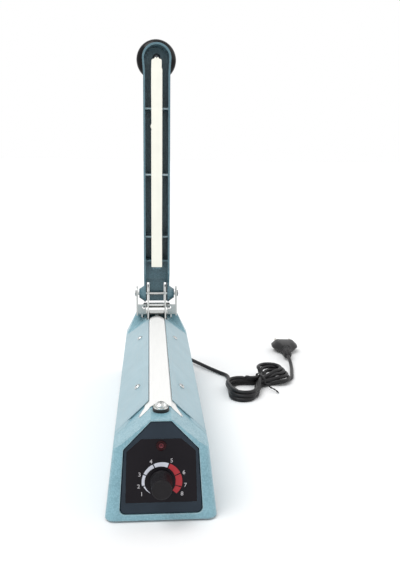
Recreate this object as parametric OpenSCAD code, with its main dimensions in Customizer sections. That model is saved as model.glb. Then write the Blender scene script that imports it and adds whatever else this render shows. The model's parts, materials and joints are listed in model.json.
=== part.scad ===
// Hand impulse heat sealer, standing open with its arm upright.
// Casing frame: x to the right, y back from the foot of the front face, z up from the table.
// placed() moves that frame so that the origin lies under the middle of the sealer.

/* [Casing] */
// Width of the casing at its foot
base_w = 80; // [74:1:96]
// Width across the shoulders
shoulder_w = 68; // [64:1:82]
// Height of the shoulder, where side wall and roof meet
shoulder_h = 52; // [44:1:62]
// Height of the ridge that carries the sealing bar
ridge_h = 74; // [68:1:89]
// Width of the flat ridge
ridge_w = 15; // [12.5:0.5:18]
// Thickness of the casing's walls
wall = 2.5; // [2:0.1:3.2]
// Lean of the front and rear faces from upright, in degrees
lean = 6.5; // [0:0.5:9]
// Corner radius of the casing in plan
corner_r = 7; // [4:0.5:9]
// Distance from the pivot axis back to the casing's rear foot
rear_reach = 19; // [18:0.5:26]
// How far the rubber feet stand below the casing
foot_drop = 1.5; // [1:0.1:3]
// Thickness of the bottom cover
cover_t = 1.2; // [1:0.1:2]

/* [Sealing bar] */
// Length of the silicone strip
strip_l = 216; // [180:1:300]
// Width of the silicone strip
strip_w = 11.5; // [9.5:0.5:14]
// Thickness of the silicone strip
strip_t = 4.2; // [3:0.1:5.5]
// Distance from the casing's front foot back to the shut strip
strip_front = 51; // [48:1:70]
// Distance from the strip's end to the pivot axis
strip_to_pivot = 34; // [33:1:42]
// Width of the insulating sealing bar
bar_w = 10; // [8:0.5:11]
// Depth of the groove that the sealing bar sits in
bar_groove = 1.2; // [0.8:0.1:1.4]
// How far the sealing bar stands above the ridge
bar_stand = 0.6; // [0.4:0.1:1.4]
// Width of the heating ribbon
ribbon_w = 2.5; // [2:0.5:5]
// Thickness of the heating ribbon
ribbon_t = 0.2; // [0.15:0.05:0.3]
// Thickness of the release cloth
cloth_t = 0.25; // [0.15:0.05:0.35]
// Thickness of the side clamp plates
plate_t = 0.8; // [0.6:0.1:1.2]

/* [Arm] */
// Width of the arm
arm_w = 28; // [27:0.5:32]
// Radius of the arm's round free end
arm_end_r = 15; // [14.5:0.5:18]
// Thickness of the arm's side walls
arm_wall = 2; // [1.6:0.1:2.4]
// Thickness of the arm's back
arm_back_t = 2.5; // [2:0.1:3.5]
// Distance from the pivot axis to the outside of the arm's back
arm_back = 6; // [5.5:0.1:7]
// Distance from the pivot axis to the face of the strip
strip_drop = 22; // [20:0.5:26]
// Diameter of the press knob
knob_d = 43; // [36:1:52]
// Height of the press knob
knob_h = 26; // [22:1:32]

/* [Hinge] */
// Diameter of the pivot pin
pivot_d = 3.6; // [3:0.1:4.4]
// Diameter of the guide pin below it
guide_d = 4; // [3:0.1:4.6]
// Distance from the pivot pin down to the guide pin
pin_gap = 14; // [13.5:0.5:15]
// Upward play of the floating link, which works the switch
link_travel = 3; // [1.5:0.5:3.5]
// Thickness of the link's side plates
link_t = 1.5; // [1.2:0.1:1.8]
// Thickness of the hinge bracket
bracket_t = 1.6; // [1.2:0.1:2.2]
// Width between the hinge bracket's cheeks
bracket_gap = 42; // [40.5:0.5:46]

/* [Front panel] */
// Height of the dial's centre along the front face
dial_v = 30.4; // [28:0.2:32]
// Diameter of the timer knob at its foot
dial_d = 16; // [13:0.5:18]
// Diameter of the timer knob at its face
dial_face_d = 13.2; // [11:0.2:15]
// Height of the timer knob
dial_h = 16; // [12:0.5:20]
// Height of the indicator lamp along the front face
lamp_v = 55.6; // [54:0.2:57]

/* [Transformer] */
// Length of the laminated core
core_l = 66; // [54:1:76]
// Height of the laminated core
core_h = 55; // [46:1:57]
// Thickness of the laminated stack
core_t = 30; // [22:1:34]

/* [Mains lead] */
// Diameter of the mains lead
cord_d = 4.2; // [3.6:0.2:6]
// Width of the two-pin plug
plug_w = 35.3; // [30:0.1:40]
// Thickness of the two-pin plug
plug_t = 13.7; // [12:0.1:16]

/* [Hidden] */
$fn = 48;
clear = 0.3;         // between parts that pass each other
run = 0.05;          // radial play of a pin in its bore
seat = 0.1;          // between rounded parts that rest on each other

// Casing
side_lean = (base_w - shoulder_w) / 2 / (shoulder_h - foot_drop);
roof_fall = (ridge_h - shoulder_h) / ((shoulder_w - ridge_w) / 2);
roof_angle = atan(roof_fall);
pivot_y = strip_front + strip_l + strip_to_pivot;
base_l = pivot_y + rear_reach;
boss_r = 5;
foot_r = 7;
foot_inset = 16;
foot_web = 1.2;      // rubber left above the screw's head
cover_z = foot_drop + 0.7;
cover_top = cover_z + cover_t;
screw_r = 1.5;
screw_head_r = 2.7;

// Sealing bar, ribbon and cloth, stacked on the ridge
bar_top = ridge_h + bar_stand;
ribbon_z = bar_top;
cloth_z = ribbon_z + ribbon_t + 0.05;
cloth_top = cloth_z + cloth_t;
cloth_w = ridge_w + 1.8;
bar_front = strip_front - 17;
bar_rear = strip_front + strip_l + 6.5;
cloth_front = bar_front + 1;
cloth_rear = bar_rear + 1.5;
plate_lift = cloth_t + 2 * seat;
plate_in = 10;       // half-width at the top of the clamp plates
plate_crease = 14;   // half-width at their crease
clamp_ys = [strip_front + 37.5, strip_front + 174];
clamp_x = 17;
clamp_s = (clamp_x - ridge_w / 2) / cos(roof_angle);
terminal_y = bar_front - 9.5;
terminal_r = 6;
terminal_top = ridge_h + 2.2;

// Hinge
pivot_z = cloth_top + clear + strip_drop;
guide_z = pivot_z - pin_gap;
link_x = 9.5;                       // middle of each side plate
link_in = link_x - link_t / 2;
link_out = link_x + link_t / 2;
slot_front = bar_rear + 1.5;
slot_rear = pivot_y + 5;
slot_x = link_out + 1;
cheek_in = bracket_gap / 2;
cheek_out = cheek_in + bracket_t;
cheek_r = 8;
deck_z = ridge_h;
bracket_front = pivot_y - 5;
bracket_rear = base_l - deck_z * tan(lean) - 0.6;
bracket_top = deck_z + bracket_t;
bracket_screw_x = 16;
bracket_screw_y = bracket_rear - 5;
hub_r = 9.5;
hub_end_r = 5;
hub_out = cheek_in - 1.5;
foot_plate_t = 3;
foot_plate_z = deck_z - 12 - foot_plate_t - link_travel;
spring_y = pivot_y - 2;

// Arm, standing upright
arm_top = pivot_z + strip_to_pivot + strip_l + 16;
strip_face_y = pivot_y - strip_drop;
arm_rim_y = strip_face_y + 1;
arm_back_y = pivot_y + arm_back;
arm_floor_y = arm_back_y - arm_back_t;
arm_in = arm_w / 2 - arm_wall;
strip_low = pivot_z + strip_to_pivot;
strip_high = strip_low + strip_l;
rail_w = strip_w - 2.5;
rib_zs = [strip_high - 49, strip_high - 117, strip_low + 32.5, strip_low + 6];
knob_z = arm_top - 12;

// Front panel, measured along the front face
panel_sink = 0.5;
panel_t = 3;
panel_back = panel_sink + panel_t;
flange_t = 1.5;
flange_back = wall + seat + flange_t;
panel_foot_w = 29.3;
panel_top_w = 7.2;
panel_low = 6;
panel_shoulder = shoulder_h / cos(lean) + 0.8;
panel_shoulder_w = shoulder_w / 2 - 7.6;
panel_high = ridge_h / cos(lean) - 1.5;
label_t = 0.5;
label_field = 0.4;
board_t = 1.6;
board_w = 46;
pot_r = 8.2;
pot_t = 8.6;
pot_front = max(panel_back, flange_back) + seat;
board_front = pot_front + pot_t + clear;
shaft_r = 3;
bush_r = 3.9;
dial_gap = 1;
dial_top = dial_h + dial_gap;

// Transformer and switch, on the bottom cover
core_y = base_l / 2 - 10;
clamp_foot = 12;
transformer_screw_ys = [core_y - core_l / 2 - clamp_foot / 2 - 2, core_y + core_l / 2 + clamp_foot / 2 + 2];
coil_x = 26;
switch_l = 28;
switch_h = 16;
switch_w = 10.3;
lever_y = pivot_y - 37;
lever_z = foot_plate_z - 3.2;
lever_reach = 24;
lever_t = 0.5;
switch_top = lever_z - 1.9;
switch_foot_x = switch_w / 2 + bracket_t + 6;
switch_foot_ys = [lever_y + 6, lever_y + 20];
block_front = slot_front - 14;
block_top = ridge_h - wall - 0.1;
tab_z = block_top - 2.6;
tab_t = 1.2;
rear_screw_y = slot_front + 7.5;
block_drop = 6.2;

// Origin under the middle of the sealer
label_face = -panel_sink - label_field + label_t;
front_reach = (dial_top + label_face) * cos(lean) - (dial_v - dial_face_d / 2) * sin(lean);
gland_l = 21;
mid_y = (max(arm_back_y + knob_h, base_l + gland_l) - front_reach) / 2;

// Mains lead, measured from the foot of the casing's rear end
gland_x = -5;
gland_z = 12;
cord_z = cord_d / 2 + 0.2;
plug_at = [166, 46, plug_t / 2 + 0.2];
plug_turn = -5.5;
plug_l = 27;
sleeve_l = 24;
pin_r = 2;
pin_l = 19;
pin_spread = 9.25;
lead_bend = [gland_x + 17, 29];
lead_turn = [64.5, -37];
tail_bend = [136.2, -32.4];
hank_bottom = [91.5, -91];
hank_top = [94, -69];
hank_end = [133.5, -42.5];
tie_at = [115.5, -57.5];
tie_turn = 22;
tie_w = 3;
tie_t = 0.8;
hank_waist = 9;
hank_h = 14;
end_turn = atan2(hank_end.y - tie_at.y, hank_end.x - tie_at.x);

function arc(c, r, a1, a2, n) = [for (i = [0 : n])
    let (a = a1 + (a2 - a1) * i / n) c + r * [cos(a), sin(a)]];
function on_floor(path) = [for (p = path) [p.x, p.y, cord_z]];
function falling(path, z) = [for (i = [0 : len(path) - 1])
    [path[i].x, path[i].y, cord_z + (z - cord_z) * pow(1 - i / (len(path) - 1), 2)]];

lead_route = concat([[gland_x, gland_l, gland_z], [gland_x, gland_l + 4, gland_z]],
    falling(arc(lead_bend, 17, 180, 38, 9), gland_z - 0.4),
    on_floor(arc(lead_turn, 17, 36, -4, 4)), on_floor([[80.8, -48], [80, -58], [79.4, -66]]));
tail_route = concat(on_floor(arc(tail_bend, 20, -50, -13, 4)),
    [[159.4, -19, cord_z], [161.1, -10, cord_z + 0.2], [162.3, -2, cord_z + 0.9], [163, 5, cord_z + 2.1],
    [163.4, 11, cord_z + 3.5]]);

// ---------- frames ----------

module placed() translate([0, -mid_y, 0]) children();

module behind() placed() translate([0, base_l, 0]) children();

// Front face: x across, y up along the face, z out of it.
module on_front() rotate([90 - lean, 0, 0]) children();

module sided(side) {
    if (side < 0) mirror([1, 0, 0]) children();
    else children();
}

// One roof slope: x down the slope from the ridge's edge, z out of it.
module on_roof(side) sided(side) translate([ridge_w / 2, 0, ridge_h]) rotate([0, roof_angle, 0]) children();

// Turns a y-z outline into a slab from x1 to x2.
module side_slab(x1, x2) translate([x1, 0, 0]) rotate([90, 0, 90]) linear_extrude(x2 - x1) children();

// Turns an x-z outline into a prism from y1 to y2.
module cross_slab(y1, y2) translate([0, y2, 0]) rotate([90, 0, 0]) linear_extrude(y2 - y1) children();

module along_x(x1, x2, y, z, r) translate([x1, y, z]) rotate([0, 90, 0]) cylinder(h = x2 - x1, r = r);

module along_y(y1, y2, x, z, r) translate([x, y1, z]) rotate([-90, 0, 0]) cylinder(h = y2 - y1, r = r);

module block(low, high) translate(low) cube(high - low);

// ---------- shared shapes ----------

function unit(v) = v / norm(v);
function heading(path, i) = unit(path[min(i + 1, len(path) - 1)] - path[max(i - 1, 0)]);
function ring(centre, ahead, up, r, sides) =
    let (s = unit(cross(up, ahead)), n = cross(ahead, s))
    [for (k = [0 : sides - 1]) centre + r * (cos(360 * k / sides) * s + sin(360 * k / sides) * n)];

// Round tube swept along a path whose heading never runs along up.
module tube(path, r, sides = 10, up = [0, 0, 1]) {
    last = len(path) - 1;
    points = [for (i = [0 : last]) each ring(path[i], heading(path, i), up, r, sides)];
    walls = [for (i = [0 : last - 1], k = [0 : sides - 1])
        let (a = i * sides + k, b = i * sides + (k + 1) % sides)
        each [[a, a + sides, b + sides], [a, b + sides, b]]];
    start = [for (k = [0 : sides - 1]) k];
    finish = [for (k = [sides - 1 : -1 : 0]) last * sides + k];
    polyhedron(points, concat([start], walls, [finish]));
}

function coil_path(r, turns, pitch, steps = 16) =
    [for (i = [0 : turns * steps]) let (a = 360 * i / steps) [r * cos(a), r * sin(a), pitch * i / steps]];

// Pan-head screw standing on z = 0, shank down the axis, with a cross recess.
module pan_screw(head_r, head_h, shank_r, shank_l) {
    slot = head_r * 0.3;
    difference() {
        rotate_extrude() polygon([[0, -shank_l], [shank_r, -shank_l], [shank_r, 0], [head_r, 0],
            [head_r, head_h * 0.45], [head_r * 0.72, head_h * 0.85], [head_r * 0.35, head_h], [0, head_h]]);
        for (turn = [0, 90]) rotate([0, 0, turn])
            translate([-head_r * 0.55, -slot / 2, head_h * 0.5]) cube([head_r * 1.1, slot, head_h]);
    }
}

// ---------- casing ----------

function half_w(z, t) = base_w / 2 - (z - foot_drop) * side_lean - t / cos(atan(side_lean));
function front_y(z, t) = z * tan(lean) + t / cos(lean);
function rear_y(z, t) = base_l - z * tan(lean) - t / cos(lean);

// Tapering block with rounded corners, inset by t, between two heights.
module casing_block(t, z1, z2) {
    r = max(corner_r - t, 0.5);
    hull() for (z = [z1, z2], side = [-1, 1], y = [front_y(z, t) + r, rear_y(z, t) - r])
        translate([side * (half_w(z, t) - r), y, z - 0.005]) cylinder(h = 0.01, r = r, $fn = 32);
}

module roof_outline(t) {
    drop = t / cos(roof_angle);
    flat = ridge_w / 2 + (t - drop) / roof_fall;
    eave = base_w;
    polygon([[-eave, -1], [eave, -1], [eave, ridge_h - drop - (eave - ridge_w / 2) * roof_fall],
        [flat, ridge_h - t], [-flat, ridge_h - t],
        [-eave, ridge_h - drop - (eave - ridge_w / 2) * roof_fall]]);
}

module casing_form(t, z1) intersection() {
    casing_block(t, z1, ridge_h + 2);
    cross_slab(-20, base_l + 20) roof_outline(t);
}

// Wedge that widens the roof's rear end to carry the hinge bracket.
module gusset(side) {
    y = rear_y(deck_z, 0) - 0.01;
    low = shoulder_h - 1;
    corner = [half_w(shoulder_h, 0.02), rear_y(deck_z, 0) - 26, shoulder_h];
    sided(side) polyhedron([corner, [ridge_w / 2 - 2, y, deck_z], [cheek_out, y, deck_z],
        [half_w(low, 0.02), y, low], [ridge_w / 2 - 2, y, low]],
        [[0, 1, 2], [0, 2, 3], [0, 4, 1], [0, 3, 4], [1, 4, 3], [1, 3, 2]]);
}

foot_spots = [for (side = [-1, 1], y = [foot_inset, base_l - foot_inset]) [side * (base_w / 2 - 11), y]];

module base_shell() placed() color([0.45, 0.62, 0.65]) difference() {
    union() {
        difference() {
            casing_form(0, foot_drop);
            casing_form(wall, foot_drop - 2);
        }
        for (side = [-1, 1]) gusset(side);
        for (p = foot_spots) translate([p.x, p.y, cover_top]) cylinder(h = 14, r = boss_r);
        for (p = foot_spots) block([min(p.x, sign(p.x) * (base_w / 2 - 4)), p.y - 1, cover_top],
            [max(p.x, sign(p.x) * (base_w / 2 - 4)), p.y + 1, cover_top + 14]);
        for (side = [-1, 1], y = clamp_ys) on_roof(side)
            translate([clamp_s, y, -wall - 5]) cylinder(h = wall + 4.5, r = 3.5);
        translate([0, terminal_y, ridge_h - wall - 5]) cylinder(h = wall + 4.5, r = 4.5);
        along_y(base_l - 9, base_l - 0.4, gland_x, gland_z, 8);
    }
    on_front() translate([0, 0, -panel_back]) linear_extrude(panel_back + 3) panel_outline(0.15);
    block([-bar_w / 2 - seat, bar_front - seat, ridge_h - bar_groove],
        [bar_w / 2 + seat, slot_front + 1, ridge_h + 5]);
    block([-slot_x, slot_front, foot_plate_z], [slot_x, slot_rear, ridge_h + 5]);
    for (side = [-1, 1], y = clamp_ys) on_roof(side)
        translate([clamp_s, y, -wall - 4]) cylinder(h = wall + 10, r = screw_r + run);
    translate([0, terminal_y, ridge_h - 20]) cylinder(h = 30, r = 2 + run);
    for (side = [-1, 1]) translate([side * bracket_screw_x, bracket_screw_y, deck_z - 9])
        cylinder(h = 12, r = screw_r + run);
    for (p = foot_spots) translate([p.x, p.y, 0]) cylinder(h = cover_top + 11, r = screw_r + run);
    along_y(base_l - 16, base_l + 1, gland_x, gland_z, 5 + run);
}

module bottom_cover() placed() color([0.3, 0.32, 0.34]) difference() {
    casing_plate(wall + clear, cover_z, cover_t);
    for (p = foot_spots) translate([p.x, p.y, 0]) cylinder(h = 10, r = screw_r + run);
    for (y = transformer_screw_ys) translate([0, y, 0]) cylinder(h = 10, r = screw_r + run);
    for (y = switch_foot_ys) translate([switch_foot_x, y, 0]) cylinder(h = 10, r = screw_r + run);
    for (side = [-1, 1], i = [0 : 5])
        block([side * 18 - 7, 196 + 7 * i, 0], [side * 18 + 7, 199 + 7 * i, 10]);
}

// Flat plate that follows the casing's inside, with rounded corners.
module casing_plate(t, z, h) {
    r = max(corner_r - t, 0.5);
    x = half_w(z + h, t) - r;
    y1 = front_y(z + h, t) + r;
    y2 = rear_y(z + h, t) - r;
    translate([0, 0, z]) linear_extrude(h) union() {
        polygon([[-x - r, y1], [-x, y1 - r], [x, y1 - r], [x + r, y1],
            [x + r, y2], [x, y2 + r], [-x, y2 + r], [-x - r, y2]]);
        for (cx = [-x, x], cy = [y1, y2]) translate([cx, cy]) circle(r = r);
    }
}

module cover_screws() placed() color("silver") for (p = foot_spots)
    translate([p.x, p.y, cover_z - foot_web]) rotate([180, 0, 0])
        pan_screw(screw_head_r, 0.8, screw_r, foot_web + cover_t + 10);

module rubber_feet() placed() color([0.1, 0.1, 0.1]) for (p = foot_spots) difference() {
    translate([p.x, p.y, 0]) cylinder(h = cover_z, r1 = foot_r - 1, r2 = foot_r);
    translate([p.x, p.y, -1]) cylinder(h = cover_z - foot_web + 1, r = screw_head_r + 0.6);
    translate([p.x, p.y, -1]) cylinder(h = cover_z + 2, r = screw_r + run);
}

// ---------- front panel ----------

function panel_side(v) =
    panel_foot_w - (v - panel_low) * (panel_foot_w - panel_shoulder_w) / (panel_shoulder - panel_low);

// Outline of the panel on the front face, grown by g, with round lower corners.
module panel_outline(g) {
    r = 4;
    x = panel_foot_w - r + g;
    corner = [for (a = [0 : 15 : 90]) [x + r * sin(a) - 0.1, panel_low - g + r - r * cos(a)]];
    half = concat(corner,
        [[panel_shoulder_w + g, panel_shoulder + g * 0.4], [panel_top_w + g * 0.4, panel_high + g]]);
    polygon(concat(half, [for (i = [len(half) - 1 : -1 : 0]) [-half[i].x, half[i].y]]));
}

module label_outline(g) polygon([[-25.2 - g, 14.4 - g], [25.2 + g, 14.4 - g], [24.2 + g, 51.5 + g * 0.4],
    [14 + g * 0.4, 60.4 + g], [-14 - g * 0.4, 60.4 + g], [-24.2 - g, 51.5 + g * 0.4]]);

module at_dial(w) on_front() translate([0, dial_v, w]) children();
module at_lamp(w) on_front() translate([0, lamp_v, w]) children();

module control_panel() placed() color([0.2, 0.26, 0.3]) difference() {
    union() {
        on_front() translate([0, 0, -panel_back]) linear_extrude(panel_t - 0.8) panel_outline(0);
        on_front() hull() {
            translate([0, 0, -panel_sink - 0.81]) linear_extrude(0.01) panel_outline(0);
            translate([0, 0, -panel_sink - 0.01]) linear_extrude(0.01) panel_outline(-0.8);
        }
        on_front() translate([0, 0, -flange_back]) linear_extrude(flange_t) intersection() {
            panel_outline(2);
            translate([-base_w / 2, 0]) square([base_w, panel_shoulder - 3]);
        }
        for (side = [-1, 1]) on_front() translate([side * 20, dial_v - 12, -board_front + seat])
            cylinder(h = board_front - panel_back + 1, r = 2.6);
    }
    on_front() translate([0, 0, -panel_sink - label_field]) linear_extrude(5) label_outline(0.15);
    at_dial(-panel_back - 4) cylinder(h = 20, r = bush_r + run);
    at_lamp(-panel_back - 4) cylinder(h = 20, r = 3 + run);
    for (side = [-1, 1]) on_front() translate([side * 20, dial_v - 12, -board_front - 1])
        cylinder(h = 9, r = 1.2 + run);
}

module dial_label() placed() color([0.1, 0.1, 0.11]) difference() {
    on_front() translate([0, 0, -panel_sink - label_field]) linear_extrude(label_t) label_outline(0);
    at_dial(-10) cylinder(h = 20, r = bush_r + run);
    at_lamp(-10) cylinder(h = 20, r = 3 + run);
}

module lamp_bezel() placed() color([0.15, 0.05, 0.05]) at_lamp(0) rotate_extrude() polygon([
    [2.1, -panel_back - 2], [3, -panel_back - 2], [3, label_face + 0.05], [3.6, label_face + 0.05],
    [3.5, label_face + 0.7], [2.7, label_face + 1], [2.1, label_face + 0.7]]);

module lamp_lens() placed() color([0.7, 0.1, 0.1]) at_lamp(-panel_back - 2) rotate_extrude() polygon([
    [0, 0], [2.1 - run, 0], [2.1 - run, 3.2], [1.7, 3.7], [0, 4]]);

module neon_lamp() placed() color([0.9, 0.6, 0.4]) {
    at_lamp(-panel_back - 13) cylinder(h = 10.7, r = 2);
    for (side = [-1, 1]) at_lamp(-panel_back - 18) translate([side, 0, 0]) cylinder(h = 5, r = 0.4);
}

module potentiometer() placed() color([0.7, 0.7, 0.68]) difference() {
    union() {
        at_dial(-pot_front - pot_t) cylinder(h = pot_t, r = pot_r);
        at_dial(-pot_front - 1) cylinder(h = pot_front + 1 + label_face + 2.2, r = bush_r - 0.2);
        for (i = [-1, 0, 1]) at_dial(-pot_front - pot_t) translate([i * 4 - 0.8, -pot_r - 4, 1])
            cube([1.6, 6, 0.8]);
    }
    at_dial(-pot_front - pot_t + 2) cylinder(h = 30, r = shaft_r + run);
}

module potentiometer_nut() placed() color("silver") at_dial(label_face) difference() {
    cylinder(h = 1.6, r = 5.6, $fn = 6);
    translate([0, 0, -1]) cylinder(h = 4, r = bush_r - 0.2 + run);
}

module dial_shaft() placed() color("silver") at_dial(-pot_front - pot_t + 2.3)
    cylinder(h = pot_front + pot_t - 2.3 + label_face + dial_top - 3, r = shaft_r);

module timer_knob() placed() color([0.07, 0.07, 0.07]) at_dial(label_face) difference() {
    union() {
        translate([0, 0, dial_gap]) rotate_extrude() polygon([[0, 0], [dial_d / 2, 0], [dial_d / 2, 1.6],
            [dial_d / 2 - 0.6, 2], [dial_face_d / 2, dial_h - 0.8], [dial_face_d / 2 - 0.8, dial_h],
            [0, dial_h]]);
        for (i = [0 : 17]) rotate([0, 0, 20 * i]) translate([dial_face_d / 2 - 0.2, 0, dial_gap + 2])
            cylinder(h = dial_h - 3.2, r = 0.7, $fn = 16);
    }
    translate([0, 0, -1]) cylinder(h = dial_gap + 3, r = 6);
    cylinder(h = dial_top - 3, r = shaft_r + run);
}

// ---------- inside the casing ----------

module control_board() placed() color([0.1, 0.35, 0.2]) difference() {
    on_front() translate([-board_w / 2, dial_v - 17, -board_front - board_t])
        cube([board_w, 34, board_t]);
    for (side = [-1, 1]) on_front() translate([side * 20, dial_v - 12, -40])
        cylinder(h = 40, r = 1.2 + run);
}

module board_screws() placed() color("silver") for (side = [-1, 1])
    on_front() translate([side * 20, dial_v - 12, -board_front - board_t]) rotate([180, 0, 0])
        pan_screw(2.2, 1.5, 1.2, board_t + 6);

module timer_relay() placed() color([0.15, 0.25, 0.5]) on_front()
    translate([-14, dial_v - 6, -board_front - board_t - 15]) cube([19, 15, 15]);

module board_capacitor() placed() color([0.1, 0.1, 0.3]) on_front()
    translate([13, dial_v + 4, -board_front - board_t - 12]) cylinder(h = 12, r = 5);

module core_window(y) block([-core_t, y - core_l / 12, cover_top + core_l / 6],
    [core_t, y + core_l / 12, cover_top + core_h - core_l / 6]);

module transformer_core() placed() color([0.35, 0.36, 0.38]) difference() {
    block([-core_t / 2, core_y - core_l / 2, cover_top],
        [core_t / 2, core_y + core_l / 2, cover_top + core_h]);
    core_window(core_y - core_l / 4);
    core_window(core_y + core_l / 4);
}

module transformer_coil() placed() color([0.75, 0.6, 0.2]) difference() {
    block([-coil_x, core_y - core_l / 3 + clear, cover_top + core_l / 6 + clear],
        [coil_x, core_y + core_l / 3 - clear, cover_top + core_h - core_l / 6 - clear]);
    block([-core_t / 2 - clear, core_y - core_l / 6 - clear, 0],
        [core_t / 2 + clear, core_y + core_l / 6 + clear, 99]);
}

module transformer_clamp() placed() color("silver") difference() {
    side_slab(-10, 10) polygon([for (p = [
        [-core_l / 2 - clamp_foot - 3, 0], [-core_l / 2 - seat, 0], [-core_l / 2 - seat, core_h + seat],
        [core_l / 2 + seat, core_h + seat], [core_l / 2 + seat, 0], [core_l / 2 + clamp_foot + 3, 0],
        [core_l / 2 + clamp_foot + 3, 1.2], [core_l / 2 + seat + 1.2, 1.2],
        [core_l / 2 + seat + 1.2, core_h + seat + 1.2],
        [-core_l / 2 - seat - 1.2, core_h + seat + 1.2], [-core_l / 2 - seat - 1.2, 1.2],
        [-core_l / 2 - clamp_foot - 3, 1.2]]) [core_y + p.x, cover_top + p.y]]);
    for (y = transformer_screw_ys) translate([0, y, 0]) cylinder(h = 20, r = screw_r + run);
}

module transformer_screws() placed() color("silver") for (y = transformer_screw_ys)
    translate([0, y, cover_top + 1.2]) pan_screw(screw_head_r, 2, screw_r, 1.2 + cover_t);

// Snap-action switch below the link's foot plate; its lever hangs on a pin between two ears.
module switch_body() placed() color([0.12, 0.12, 0.13]) {
    difference() {
        union() {
            block([-switch_w / 2, lever_y - 2, switch_top - switch_h],
                [switch_w / 2, lever_y - 2 + switch_l, switch_top]);
            for (side = [-1, 1]) sided(side)
                block([3, lever_y - 1.8, switch_top - 1], [4.6, lever_y + 1.8, lever_z + 1.6]);
        }
        for (y = switch_foot_ys) along_x(-9, 9, y, switch_top - switch_h / 2, screw_r + run);
    }
    along_x(-4, 4, lever_y, lever_z, 0.8);
    for (i = [0 : 2]) block([-3, lever_y + 3 + 8 * i, switch_top - switch_h - 5],
        [3, lever_y + 4 + 8 * i, switch_top - switch_h + 1]);
}

module switch_lever() placed() color("silver") difference() {
    union() {
        along_x(-2.7, 2.7, lever_y, lever_z, 1.5);
        side_slab(-2, 2) polygon([[lever_y, lever_z + 0.2],
            [lever_y + lever_reach, foot_plate_z - clear - 0.2],
            [lever_y + lever_reach + 3, foot_plate_z - clear - 1.4],
            [lever_y + lever_reach + 3, foot_plate_z - clear - 1.9],
            [lever_y + lever_reach, foot_plate_z - clear - 0.7], [lever_y, lever_z - 0.3]]);
    }
    along_x(-9, 9, lever_y, lever_z, 0.8 + run);
}

module switch_bracket() placed() color("silver") difference() {
    union() {
        block([switch_w / 2 + seat, lever_y - 2, cover_top],
            [switch_w / 2 + seat + bracket_t, lever_y + 26, switch_top - 1]);
        block([switch_w / 2 + seat, lever_y - 2, cover_top],
            [switch_foot_x + 6, lever_y + 26, cover_top + bracket_t]);
    }
    for (y = switch_foot_ys) along_x(0, 20, y, switch_top - switch_h / 2, screw_r + run);
    for (y = switch_foot_ys) translate([switch_foot_x, y, 0]) cylinder(h = 20, r = screw_r + run);
}

module switch_screws() placed() color("silver") {
    for (y = switch_foot_ys) translate([switch_w / 2 + seat + bracket_t, y, switch_top - switch_h / 2])
        rotate([0, 90, 0]) pan_screw(screw_head_r, 1.8, screw_r, switch_w + bracket_t);
    for (y = switch_foot_ys) translate([switch_foot_x, y, cover_top + bracket_t])
        pan_screw(screw_head_r, 1.8, screw_r, bracket_t + cover_t);
}

// ---------- sealing bar ----------

module sealing_bar() placed() color([0.25, 0.18, 0.12])
    block([-bar_w / 2, bar_front, ridge_h - bar_groove], [bar_w / 2, bar_rear, bar_top]);

// Nickel-chrome ribbon from the front terminal, along the bar, down to the rear tab.
module heating_ribbon() placed() color([0.75, 0.72, 0.68]) {
    side_slab(-ribbon_w / 2, ribbon_w / 2) polygon([
        [terminal_y + 2.6, terminal_top], [bar_front - 0.6, terminal_top], [bar_front + 1, ribbon_z],
        [bar_rear + 0.2, ribbon_z], [slot_front + 3, tab_z + tab_t], [rear_screw_y - 2.8, tab_z + tab_t],
        [rear_screw_y - 2.8, tab_z + tab_t + ribbon_t], [slot_front + 3.1, tab_z + tab_t + ribbon_t],
        [bar_rear + 0.3, ribbon_z + ribbon_t], [bar_front + 1, ribbon_z + ribbon_t],
        [bar_front - 0.5, terminal_top + ribbon_t], [terminal_y + 2.6, terminal_top + ribbon_t]]);
}

module release_cloth() placed() color("white") {
    drop = (cloth_w / 2 - ridge_w / 2) * roof_fall;
    flap = (15.2 - cloth_w / 2);
    low = ridge_h - drop + 2 * seat;
    cross_slab(cloth_front, cloth_rear) polygon([
        [-cloth_w / 2, cloth_top], [cloth_w / 2, cloth_top], [cloth_w / 2 + 0.1, low + cloth_t],
        [cloth_w / 2 + flap, low + cloth_t - flap * roof_fall],
        [cloth_w / 2 + flap, low - flap * roof_fall],
        [cloth_w / 2 - 0.2, low + 0.2 * roof_fall], [cloth_w / 2 - 0.3, cloth_z],
        [-cloth_w / 2 + 0.3, cloth_z],
        [-cloth_w / 2 + 0.2, low + 0.2 * roof_fall], [-cloth_w / 2 - flap, low - flap * roof_fall],
        [-cloth_w / 2 - flap, low + cloth_t - flap * roof_fall], [-cloth_w / 2 - 0.1, low + cloth_t]]);
}

// Folded sheet that holds one edge of the cloth down on its roof slope.
module clamp_plate(side) placed() color([0.66, 0.74, 0.78]) difference() {
    sided(side) intersection() {
        cross_slab(bar_front - 10, slot_front + 20) clamp_section();
        translate([0, 0, -1]) linear_extrude(ridge_h + 10) polygon([
            [plate_in - 2, bar_front + 8.7], [plate_in, bar_front + 7.9], [21.3, bar_front + 3.8],
            [shoulder_w / 2, bar_front - 0.8], [shoulder_w / 2, slot_front + 7],
            [plate_in + 0.7, slot_front - 0.8], [plate_in - 2, slot_front - 1.8]]);
    }
    for (y = clamp_ys) on_roof(side) translate([clamp_s, y, -5]) cylinder(h = 20, r = screw_r + run);
}

function roof_z(x) = ridge_h - (x - ridge_w / 2) * roof_fall;

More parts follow.
